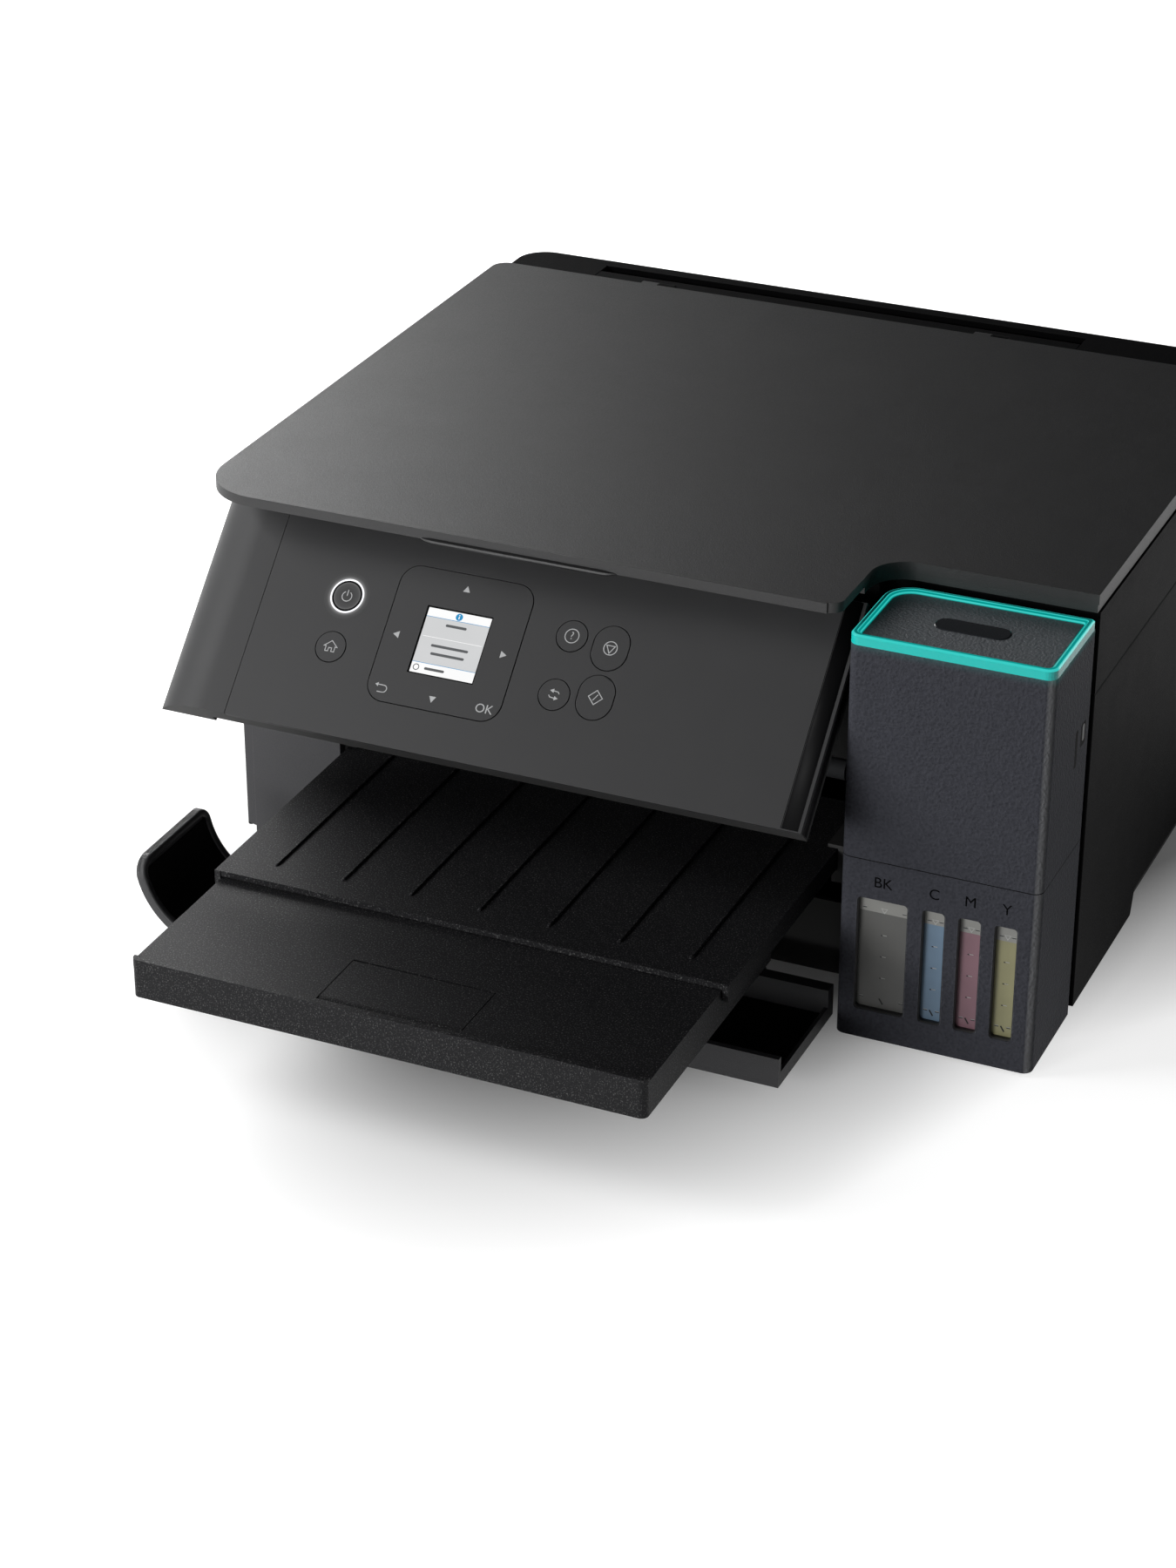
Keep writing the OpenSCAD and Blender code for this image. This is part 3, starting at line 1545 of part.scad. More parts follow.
base_tray();
rubber_feet();
left_side_cover();
right_side_cover();
rear_cover();
left_front_pillar();
front_frame();
tray_rails();
main_frame();
guide_shaft();
platen();
timing_belt();
drive_motors();
capping_station();
waste_ink_box();
circuit_board();
power_supply();
rear_sockets();
tank_lower_cover();
ink_reservoirs();
filler_deck();
ink_tubes();
feed_frame();
scanner_base();
scanner_top();
scanner_glass();
cis_bar();
lid_shell();
lid_pad();
panel_face();
panel_shell();
lcd_module();
power_light_ring();
key_power();
key_home();
nav_pad();
key_help();
key_copy();
key_stop();
key_start();
front_door();
output_tray();
tray_extension();
tray_stopper();
tank_cover();
light_ring();
cap_black();
cap_cyan();
cap_magenta();
cap_yellow();
carriage();
feed_roller();
exit_roller();
idler_gear();
motor_pinion();
drive_pulley();
idler_pulley();
pickup_roller();
feed_cover();
paper_support();
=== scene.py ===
"""Looks of an all-in-one inkjet printer with an ink tank unit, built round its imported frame."""

import json
import logging
import math
from dataclasses import dataclass, field
from enum import Enum
from typing import Optional, Sequence

import bmesh
import bpy
from mathutils import Matrix, Vector

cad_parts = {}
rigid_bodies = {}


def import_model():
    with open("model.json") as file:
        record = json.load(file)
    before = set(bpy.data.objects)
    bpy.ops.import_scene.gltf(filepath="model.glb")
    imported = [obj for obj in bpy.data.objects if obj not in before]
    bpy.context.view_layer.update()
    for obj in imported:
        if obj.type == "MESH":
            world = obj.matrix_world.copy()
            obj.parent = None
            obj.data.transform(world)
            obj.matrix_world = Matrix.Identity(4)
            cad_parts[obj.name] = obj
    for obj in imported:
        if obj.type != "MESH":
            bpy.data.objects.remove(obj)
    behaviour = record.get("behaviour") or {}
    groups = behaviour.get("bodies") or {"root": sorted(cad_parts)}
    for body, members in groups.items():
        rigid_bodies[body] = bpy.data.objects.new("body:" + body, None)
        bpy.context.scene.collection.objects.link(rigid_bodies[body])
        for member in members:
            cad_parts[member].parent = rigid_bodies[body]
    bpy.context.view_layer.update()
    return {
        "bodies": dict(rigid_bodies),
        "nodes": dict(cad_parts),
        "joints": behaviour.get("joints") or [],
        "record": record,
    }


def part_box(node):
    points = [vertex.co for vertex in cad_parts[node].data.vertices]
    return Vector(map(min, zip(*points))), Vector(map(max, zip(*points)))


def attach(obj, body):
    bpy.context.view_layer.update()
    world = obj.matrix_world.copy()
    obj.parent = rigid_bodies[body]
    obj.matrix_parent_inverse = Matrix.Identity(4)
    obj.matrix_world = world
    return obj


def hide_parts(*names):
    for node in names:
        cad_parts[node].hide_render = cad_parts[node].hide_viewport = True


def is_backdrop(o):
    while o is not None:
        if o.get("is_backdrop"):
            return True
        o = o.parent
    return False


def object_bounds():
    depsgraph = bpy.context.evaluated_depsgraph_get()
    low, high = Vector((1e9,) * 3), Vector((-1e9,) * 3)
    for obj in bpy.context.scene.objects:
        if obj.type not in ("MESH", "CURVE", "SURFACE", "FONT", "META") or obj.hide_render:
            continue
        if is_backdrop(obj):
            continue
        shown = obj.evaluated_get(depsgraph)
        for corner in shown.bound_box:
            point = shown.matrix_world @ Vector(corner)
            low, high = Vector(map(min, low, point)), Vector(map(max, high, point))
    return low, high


LOG = logging.getLogger("printer")
Colour = tuple[float, float, float]
Span = tuple[float, float]
Point = tuple[float, float]

# Every local drawing below is in millimetres; this brings it to the frame's metres.
MILLIMETRES = Matrix.Scale(0.001, 4)
# Places of the colour mix node's two colours and of its result.
MIX_FIRST, MIX_SECOND, MIX_RESULT = 6, 7, 2
# Edges that turn by more than this are rounded.
SHARP_ANGLE = math.radians(40)
# Points closer than this, in metres, are one point.
WELD_REACH = 1e-6


def linear(red: int, green: int, blue: int) -> Colour:
    """Turns a display colour of 0 to 255 a channel into a linear one.

    Args:
        red: Red as displayed.
        green: Green as displayed.
        blue: Blue as displayed.

    Returns:
        The three linear channels.
    """
    channels = []
    for value in (red, green, blue):
        share = value / 255
        channels.append(share / 12.92 if share <= 0.04045 else ((share + 0.055) / 1.055) ** 2.4)
    return channels[0], channels[1], channels[2]


# ---------- Finishes ----------


class Texture(Enum):
    """Surface texture that a mould leaves."""

    SMOOTH = "smooth"
    SPARK = "spark-eroded"
    PEBBLE = "pebble grain"


class Recipe:
    """A node material while it is being put together."""

    def __init__(self, name: str, colour: Colour, roughness: float) -> None:
        """Starts a material from one principled shader.

        Args:
            name: Name of the material.
            colour: Linear base colour.
            roughness: Roughness all over.
        """
        self.material = bpy.data.materials.new(name)
        self.material.use_nodes = True
        self.nodes = self.material.node_tree.nodes
        self.links = self.material.node_tree.links
        self.shader = self.nodes["Principled BSDF"]
        self.place = self.nodes.new("ShaderNodeTexCoord").outputs["Object"]
        self.set("Base Color", (*colour, 1.0))
        self.set("Roughness", roughness)

    def set(self, socket: str, value: object) -> None:
        """Sets a constant on one of the shader's own sockets."""
        self.shader.inputs[socket].default_value = value

    def noise(self, size: float, detail: float = 2.0) -> bpy.types.NodeSocket:
        """Soft noise whose blotches are about as large as size.

        Args:
            size: Size of a blotch in metres.
            detail: Levels of finer noise on top.

        Returns:
            The noise's factor, 0 to 1.
        """
        node = self.nodes.new("ShaderNodeTexNoise")
        node.inputs["Scale"].default_value = 1 / size
        node.inputs["Detail"].default_value = detail
        self.links.new(self.place, node.inputs["Vector"])
        return node.outputs["Fac"]

    def cells(self, size: float) -> bpy.types.NodeSocket:
        """Rounded cells, as in a pebble grain.

        Args:
            size: Size of a cell in metres.

        Returns:
            The distance from each cell's middle.
        """
        node = self.nodes.new("ShaderNodeTexVoronoi")
        node.feature = "SMOOTH_F1"
        node.inputs["Scale"].default_value = 1 / size
        node.inputs["Smoothness"].default_value = 0.6
        self.links.new(self.place, node.inputs["Vector"])
        return node.outputs["Distance"]

    def spread(self, source: bpy.types.NodeSocket, low: float, high: float,
               inside: Span = (0.0, 1.0)) -> bpy.types.NodeSocket:
        """Maps a factor to another range.

        Args:
            source: The factor.
            low: Value at the lower end.
            high: Value at the upper end.
            inside: The range of the source that is used.

        Returns:
            The mapped value.
        """
        node = self.nodes.new("ShaderNodeMapRange")
        node.inputs["From Min"].default_value = inside[0]
        node.inputs["From Max"].default_value = inside[1]
        node.inputs["To Min"].default_value = low
        node.inputs["To Max"].default_value = high
        self.links.new(source, node.inputs["Value"])
        return node.outputs["Result"]

    def tint(self, factor: bpy.types.NodeSocket, first: Colour, second: Colour) -> None:
        """Lets the base colour run from first to second with a factor."""
        node = self.nodes.new("ShaderNodeMix")
        node.data_type = "RGBA"
        node.inputs[MIX_FIRST].default_value = (*first, 1.0)
        node.inputs[MIX_SECOND].default_value = (*second, 1.0)
        self.links.new(factor, node.inputs[0])
        self.links.new(node.outputs[MIX_RESULT], self.shader.inputs["Base Color"])

    def drive(self, socket: str, source: bpy.types.NodeSocket) -> None:
        """Connects a texture to one of the shader's sockets."""
        self.links.new(source, self.shader.inputs[socket])

    def overlay(self, factor: bpy.types.NodeSocket, colour: Colour) -> None:
        """Lets a colour show over the base colour, as strongly as a factor."""
        socket = self.shader.inputs["Base Color"]
        under = socket.links[0].from_socket
        self.tint(factor, colour, colour)
        self.links.new(under, socket.links[0].from_node.inputs[MIX_FIRST])

    def away(self, centre: Sequence[float], reach: Sequence[float] = (1.0, 1.0, 1.0)
             ) -> bpy.types.NodeSocket:
        """How far a point lies from a centre.

        Args:
            centre: The centre, in the object's own space.
            reach: What counts as one along each axis.

        Returns:
            The distance.
        """
        place = self.nodes.new("ShaderNodeMapping")
        place.vector_type = "TEXTURE"
        place.inputs["Location"].default_value = tuple(centre)
        place.inputs["Scale"].default_value = tuple(reach)
        self.links.new(self.place, place.inputs["Vector"])
        node = self.nodes.new("ShaderNodeVectorMath")
        node.operation = "LENGTH"
        self.links.new(place.outputs["Vector"], node.inputs[0])
        return node.outputs["Value"]

    def facing(self, way: Sequence[float]) -> bpy.types.NodeSocket:
        """How squarely the surface faces a way in the object's own space, up to one."""
        node = self.nodes.new("ShaderNodeVectorMath")
        node.operation = "DOT_PRODUCT"
        node.inputs[1].default_value = Vector(way).normalized()
        self.links.new(self.place.node.outputs["Normal"], node.inputs[0])
        return node.outputs["Value"]

    def height(self) -> bpy.types.NodeSocket:
        """Returns the point's height in the object's own space."""
        node = self.nodes.new("ShaderNodeSeparateXYZ")
        self.links.new(self.place, node.inputs[0])
        return node.outputs["Z"]

    def join(self, first: bpy.types.NodeSocket, second: bpy.types.NodeSocket,
             operation: str = "ADD") -> bpy.types.NodeSocket:
        """Combines two values with a math node and returns the result."""
        node = self.nodes.new("ShaderNodeMath")
        node.operation = operation
        self.links.new(first, node.inputs[0])
        self.links.new(second, node.inputs[1])
        return node.outputs[0]

    def squared(self, value: bpy.types.NodeSocket) -> bpy.types.NodeSocket:
        """Returns a value times itself."""
        return self.join(value, value, "MULTIPLY")

    def bump(self, height: bpy.types.NodeSocket, depth: float) -> None:
        """Bends the shading as a relief of that depth would.

        Args:
            height: The relief, 0 to 1.
            depth: Its depth in metres.
        """
        node = self.nodes.new("ShaderNodeBump")
        node.inputs["Distance"].default_value = depth
        node.inputs["Strength"].default_value = 1.0
        self.links.new(height, node.inputs["Height"])
        self.links.new(node.outputs["Normal"], self.shader.inputs["Normal"])


@dataclass(frozen=True)
class Finish:
    """A surface finish with a node material of its own."""

    name: str
    slot: str
    colour: Colour
    roughness: float

    def material(self) -> bpy.types.Material:
        """Returns the finish's material, made at its first use."""
        found = bpy.data.materials.get(self.name)
        if found is not None:
            return found
        recipe = Recipe(self.name, self.colour, self.roughness)
        self.season(recipe)
        return recipe.material

    def season(self, recipe: Recipe) -> None:
        """Adds what this kind of finish has beyond colour and roughness."""

    def shades(self, share: float) -> tuple[Colour, Colour]:
        """Returns the finish's colour made darker and lighter by a share."""
        dark = tuple(channel * (1 - share) for channel in self.colour)
        light = tuple(min(1.0, channel * (1 + share)) for channel in self.colour)
        return dark, light


@dataclass(frozen=True)
class Moulding(Finish):
    """Injection-moulded plastic with the texture of its mould."""

    texture: Texture = Texture.SPARK
    grain: float = 0.0007
    depth: float = 0.00003
    mottle: float = 0.06
    specular: float = 0.5

    def season(self, recipe: Recipe) -> None:
        """Adds grain, slight mottling and uneven gloss."""
        recipe.set("Specular IOR Level", self.specular)
        drift = recipe.noise(self.grain * 30, 3.0)
        if self.texture is Texture.SMOOTH:
            recipe.tint(drift, *self.shades(self.mottle))
            recipe.drive("Roughness", recipe.spread(drift, self.roughness - 0.03,
                                                    self.roughness + 0.03))
            recipe.bump(recipe.noise(self.grain, 2.0), self.depth)
            return
        relief = recipe.spread(recipe.noise(self.grain, 3.0), 0.0, 1.0, (0.3, 0.7))
        if self.texture is Texture.PEBBLE:
            relief = recipe.join(relief, recipe.cells(self.grain * 1.5))
        recipe.tint(recipe.spread(relief, 0.0, 1.0, (0.0, 1.4)), *self.shades(self.mottle))
        recipe.drive("Roughness", recipe.join(
            recipe.spread(relief, self.roughness - 0.05, self.roughness + 0.05),
            recipe.spread(drift, -0.03, 0.03)))
        recipe.bump(relief, self.depth)


@dataclass(frozen=True)
class RingLit(Moulding):
    """The tank's plastic: painted glow from the ring above it, painted highlight on its front
    corner.
    """

    light: Colour = (0.0, 0.42, 0.38)
    light_z: Span = (0.1705, 0.1745)
    strength: float = 0.1
    # Paler where the surface faces the front right corner's way: a painted highlight.
    corner: Colour = (0.2, 0.203, 0.212)
    highlight_way: tuple[float, float, float] = (1.0, -1.0, 0.0)
    highlight_facing: Span = (0.85, 0.985)

    def season(self, recipe: Recipe) -> None:
        """Adds the painted highlight on the corner and the ring's painted glow to the moulding."""
        super().season(recipe)
        painted_highlight = recipe.spread(recipe.facing(self.highlight_way), 0.0, 1.0, self.highlight_facing)
        recipe.overlay(painted_highlight, self.corner)
        # Emission rising towards the ring's height is the ring's light on the tank, painted as
        # glow.
        near = recipe.squared(recipe.spread(recipe.height(), 0.0, 1.0, self.light_z))
        recipe.set("Emission Color", (*self.light, 1.0))
        recipe.drive("Emission Strength", recipe.spread(near, 0.0, self.strength))


@dataclass(frozen=True)
class Speckled(Finish):
    """Plastic with a coarse spark-eroded face whose tiny pale points are painted glints."""

    grain: float = 0.0006
    painted_glint_colour: Colour = (0.12, 0.12, 0.12)
    specular: float = 0.15
    depth: float = 0.00008

    def season(self, recipe: Recipe) -> None:
        """Adds pale flecks as painted glints, smoother at the same points, and a coarse relief."""
        recipe.set("Specular IOR Level", self.specular)
        grain = recipe.noise(self.grain, 3.0)
        painted_glints = recipe.spread(grain, 0.0, 1.0, (0.56, 0.74))
        recipe.tint(painted_glints, self.colour, self.painted_glint_colour)
        recipe.drive("Roughness", recipe.spread(grain, self.roughness + 0.1,
                                                self.roughness - 0.15))
        recipe.bump(grain, self.depth)


@dataclass(frozen=True)
class Metal(Finish):
    """Bare or plated metal."""

    scratch: float = 0.0004

    def season(self, recipe: Recipe) -> None:
        """Makes it metallic, with fine uneven polish."""
        recipe.set("Metallic", 1.0)
        wear = recipe.noise(self.scratch * 12, 4.0)
        recipe.tint(wear, *self.shades(0.12))
        recipe.drive("Roughness", recipe.spread(wear, self.roughness - 0.08,
                                                self.roughness + 0.1))
        recipe.bump(recipe.noise(self.scratch, 2.0), 0.00001)


@dataclass(frozen=True)
class Clear(Finish):
    """Glass or clear plastic."""

    clarity: float = 0.9
    index: float = 1.5

    def season(self, recipe: Recipe) -> None:
        """Lets light through, with faint smears on the surface."""
        recipe.set("Transmission Weight", self.clarity)
        recipe.set("IOR", self.index)
        smear = recipe.noise(0.03, 3.0)
        recipe.drive("Roughness", recipe.spread(smear, self.roughness, self.roughness + 0.04))


@dataclass(frozen=True)
class Glow(Finish):
    """A lit diffuser or a lit part of a display."""

    strength: float = 1.0
    body: float = 0.1
    specular: float = 0.5

    def season(self, recipe: Recipe) -> None:
        """Adds light of the finish's own colour, a little uneven."""
        recipe.set("Base Color", (*(channel * self.body for channel in self.colour), 1.0))
        recipe.set("Specular IOR Level", self.specular)
        recipe.set("Emission Color", (*self.colour, 1.0))
        drift = recipe.noise(0.02, 2.0)
        recipe.drive("Emission Strength", recipe.spread(drift, self.strength * 0.92,
                                                        self.strength * 1.08))


@dataclass(frozen=True)
class Halo(Finish):
    """Plastic with the painted glow of a lit ring round it."""

    centre: tuple[float, float, float] = (0.0, 0.0, 0.0)
    reach: Span = (0.007, 0.01)
    strength: float = 0.25

    def season(self, recipe: Recipe) -> None:
        """Adds painted glow that fades away from the ring."""
        recipe.set("Emission Color", (1.0, 1.0, 1.0, 1.0))
        near = recipe.spread(recipe.away(self.centre), 1.0, 0.0, self.reach)
        near = recipe.squared(recipe.squared(near))
        recipe.drive("Emission Strength", recipe.spread(near, 0.0, self.strength))


@dataclass(frozen=True)
class Printed(Finish):
    """Ink of a printed mark, or a film."""

    specular: float = 0.3

    def season(self, recipe: Recipe) -> None:
        """Adds the slight unevenness of a screen print."""
        recipe.set("Specular IOR Level", self.specular)
        ink = recipe.noise(0.0008, 2.0)
        recipe.tint(ink, *self.shades(0.08))
        recipe.bump(ink, 0.000004)


@dataclass(frozen=True)
class Ink(Finish):
    """Ink behind the milky wall of its reservoir."""

    def season(self, recipe: Recipe) -> None:
        """Adds the cloudy look of ink through a thick translucent wall."""
        recipe.set("Coat Weight", 0.25)
        recipe.set("Coat Roughness", 0.25)
        cloud = recipe.noise(0.012, 2.0)
        recipe.tint(cloud, *self.shades(0.14))
        recipe.bump(recipe.noise(0.0012, 2.0), 0.00001)


LID = Moulding("lid_fine_grain", "lid_grain", linear(27, 27, 28), 0.5, Texture.SPARK,
               0.0006, 0.00003, 0.1)
COVER = Moulding("cover_grain", "cover_black", linear(16, 16, 17), 0.55, Texture.SPARK,
                 0.0006, 0.00004, 0.12, 0.02)
PILLAR = Moulding("pillar_spark_grain", "cover_black", linear(62, 62, 64), 0.5, Texture.SPARK,
                  0.0006, 0.00006, 0.14, 0.3)
PANEL = Moulding("panel_satin", "panel_black", linear(50, 50, 51), 0.55, Texture.SMOOTH,
                 0.0005, 0.00001, 0.04, 0.4)
PANEL_END = Moulding("panel_end_gloss", "panel_black", linear(15, 15, 16), 0.45,
                     Texture.SMOOTH, 0.0005, 0.00001, 0.04, 0.06)
TANK = RingLit("tank_grain_painted_glow_highlight", "tank_grey", linear(62, 63, 69), 0.5, Texture.PEBBLE,
               0.0011, 0.0002, 0.2, 0.03)
# A lighter copy of the tank's plastic for the cover's upward faces: painted light, besides a real
# stronger sheen.
TANK_TOP_PAINTED_LIGHT = Moulding("tank_top_grain_painted_light", "tank_grey", linear(76, 80, 84), 0.5, Texture.PEBBLE,
                    0.0011, 0.00012, 0.2, 0.5)
# Black of the inner parts; also painted shade on the panel's underside and end and in the tank
# windows' depth.
INNER_BLACK_AND_SHADE = Moulding("inner_black", "inner_black", linear(14, 14, 15), 0.6, Texture.SPARK,
                 0.0005, 0.00003, 0.08, 0.25)
# Near black laid where there is only shade: painted shade in the door, the covers' joint, slots
# and screw heads.
PAINTED_SHADE_BLACK = Moulding("painted_shade_black", "inner_black", linear(7, 7, 8), 0.8, Texture.SPARK,
                 0.0005, 0.00002, 0.05, 0.1)
TRAY = Speckled("tray_speckle", "cover_black", linear(22, 22, 24), 0.55)
DOOR_RIM = Moulding("door_rim_grain", "cover_black", linear(44, 44, 46), 0.5, Texture.SPARK,
                    0.0006, 0.00005, 0.12)
INNER_GREY = Moulding("inner_grey", "inner_grey", linear(150, 151, 149), 0.5, Texture.SPARK)
ACETAL = Moulding("white_acetal", "white_plastic", linear(226, 224, 216), 0.35, Texture.SMOOTH)
MILKY = Moulding("reservoir_milky", "tank_clear", linear(150, 152, 155), 0.4, Texture.SMOOTH)
SHEET_STEEL = Metal("sheet_steel", "steel", linear(178, 180, 183), 0.38)
SHAFT_STEEL = Metal("shaft_steel", "shaft", linear(205, 206, 208), 0.18)
BRASS = Metal("brass", "brass", linear(206, 172, 100), 0.28)
RUBBER = Moulding("black_rubber", "rubber_black", linear(24, 24, 24), 0.85, Texture.SPARK,
                  0.0009, 0.00004, 0.1, 0.3)
ROLLER_RUBBER = Moulding("grey_rubber", "rubber_grey", linear(38, 39, 41), 0.8, Texture.SPARK,
                         0.0006, 0.00004, 0.1, 0.3)
GLASS = Clear("platen_glass", "glass", linear(222, 236, 232), 0.03)
TUBE = Clear("silicone_tube", "tube_clear", linear(150, 152, 158), 0.3, 0.4, 1.4)
BOARD = Moulding("solder_resist", "board_green", linear(30, 92, 58), 0.3, Texture.SMOOTH)
PAD = Moulding("white_pad", "pad_white", linear(236, 236, 232), 0.7, Texture.SPARK)
RING = Glow("ring_teal", "ring_teal", linear(0, 174, 166), 0.4, 0.82, 0.2, 0.1)
# The edge copy is the ring's own light with a painted highlight; the inside copy is painted shade.
RING_EDGE_HIGHLIGHT = Glow("ring_teal_edge_highlight", "ring_teal", linear(56, 206, 198), 0.3, 0.85, 0.2, 0.2)
RING_INSIDE_SHADED = Glow("ring_teal_inside_shaded", "ring_teal", linear(0, 158, 150), 0.4, 0.75, 0.2,
                   0.1)
POWER_LIGHT = Glow("power_light", "light_white", linear(250, 250, 255), 0.3, 1.1)
ICON = Printed("icon_grey", "panel_black", linear(186, 187, 188), 0.6)
LETTER = Printed("letter_black", "tank_grey", linear(3, 3, 4), 0.9, 0.05)
SEAM = Printed("seam_shadow", "panel_black", linear(8, 8, 8), 0.9, 0.05)
BADGE = Moulding("badge_gloss", "tank_grey", linear(38, 40, 43), 0.18, Texture.SMOOTH)
SCREEN_WHITE = Glow("screen_white", "screen", linear(250, 250, 250), 0.35, 0.96, 0.04)
SCREEN_GREY = Glow("screen_grey", "screen", linear(206, 207, 208), 0.35, 0.96, 0.04)
SCREEN_TEXT = Glow("screen_text", "screen", linear(84, 86, 88), 0.35, 0.9, 0.04)
SCREEN_BLUE = Glow("screen_blue", "screen", linear(10, 140, 196), 0.35, 0.95, 0.04)
SCREEN_DARK = Moulding("screen_frame", "screen", linear(12, 12, 13), 0.2, Texture.SMOOTH)
INK_BLACK = Ink("ink_black", "tank_clear", linear(90, 90, 88), 0.4)
INK_CYAN = Ink("ink_cyan", "tank_clear", linear(104, 128, 150), 0.4)
INK_MAGENTA = Ink("ink_magenta", "tank_clear", linear(130, 96, 106), 0.4)
INK_YELLOW = Ink("ink_yellow", "tank_clear", linear(143, 140, 104), 0.4)
EMPTY = Ink("reservoir_empty", "tank_clear", linear(142, 142, 138), 0.4)
MARK_PALE = Printed("mark_pale", "tank_clear", linear(176, 176, 174), 0.5)
MARK_DARK = Printed("mark_dark", "tank_clear", linear(34, 34, 36), 0.6)
LABEL = Moulding("bare_label", "inner_grey", linear(186, 187, 186), 0.45, Texture.SMOOTH)
CAP_FINISHES = {
    "cap_black": Moulding("cap_black_rubber", "cap_black", linear(36, 36, 38), 0.6),
    "cap_cyan": Moulding("cap_cyan_rubber", "cap_cyan", linear(20, 120, 170), 0.6),
    "cap_magenta": Moulding("cap_magenta_rubber", "cap_magenta", linear(170, 30, 100), 0.6),
    "cap_yellow": Moulding("cap_yellow_rubber", "cap_yellow", linear(210, 175, 30), 0.6),
}


# ---------- Making pieces ----------


def rounded(x: Span, y: Span, radius: float, steps: int = 6) -> list[Point]:
    """Outline of a rectangle with round corners, anticlockwise.

    Args:
        x: Left and right.
        y: Bottom and top.
        radius: Radius of the corners.
        steps: Straight pieces in each corner.

    Returns:
        The outline's points.
    """
    corners = ((x[1], y[0], -90), (x[1], y[1], 0), (x[0], y[1], 90), (x[0], y[0], 180))
    points = []
    for cx, cy, start in corners:
        mx = cx + (radius if cx == x[0] else -radius)
        my = cy + (radius if cy == y[0] else -radius)
        for step in range(steps + 1):
            angle = math.radians(start + 90 * step / steps)
            points.append((mx + radius * math.cos(angle), my + radius * math.sin(angle)))
    return points


def arc(centre: Point, radius: float, start: float, end: float, steps: int) -> list[Point]:
    """Points along an arc.

    Args:
        centre: The arc's centre.
        radius: Its radius.
        start: First angle in degrees.
        end: Last angle in degrees.
        steps: Straight pieces.

    Returns:
        The points from start to end.
    """
    points = []
    for step in range(steps + 1):
        angle = math.radians(start + (end - start) * step / steps)
        points.append((centre[0] + radius * math.cos(angle),
                       centre[1] + radius * math.sin(angle)))
    return points


def circle(centre: Point, radius: float, count: int) -> list[Point]:
    """Points evenly round a circle, anticlockwise from its right."""
    return arc(centre, radius, 0, 360 - 360 / count, count - 1)


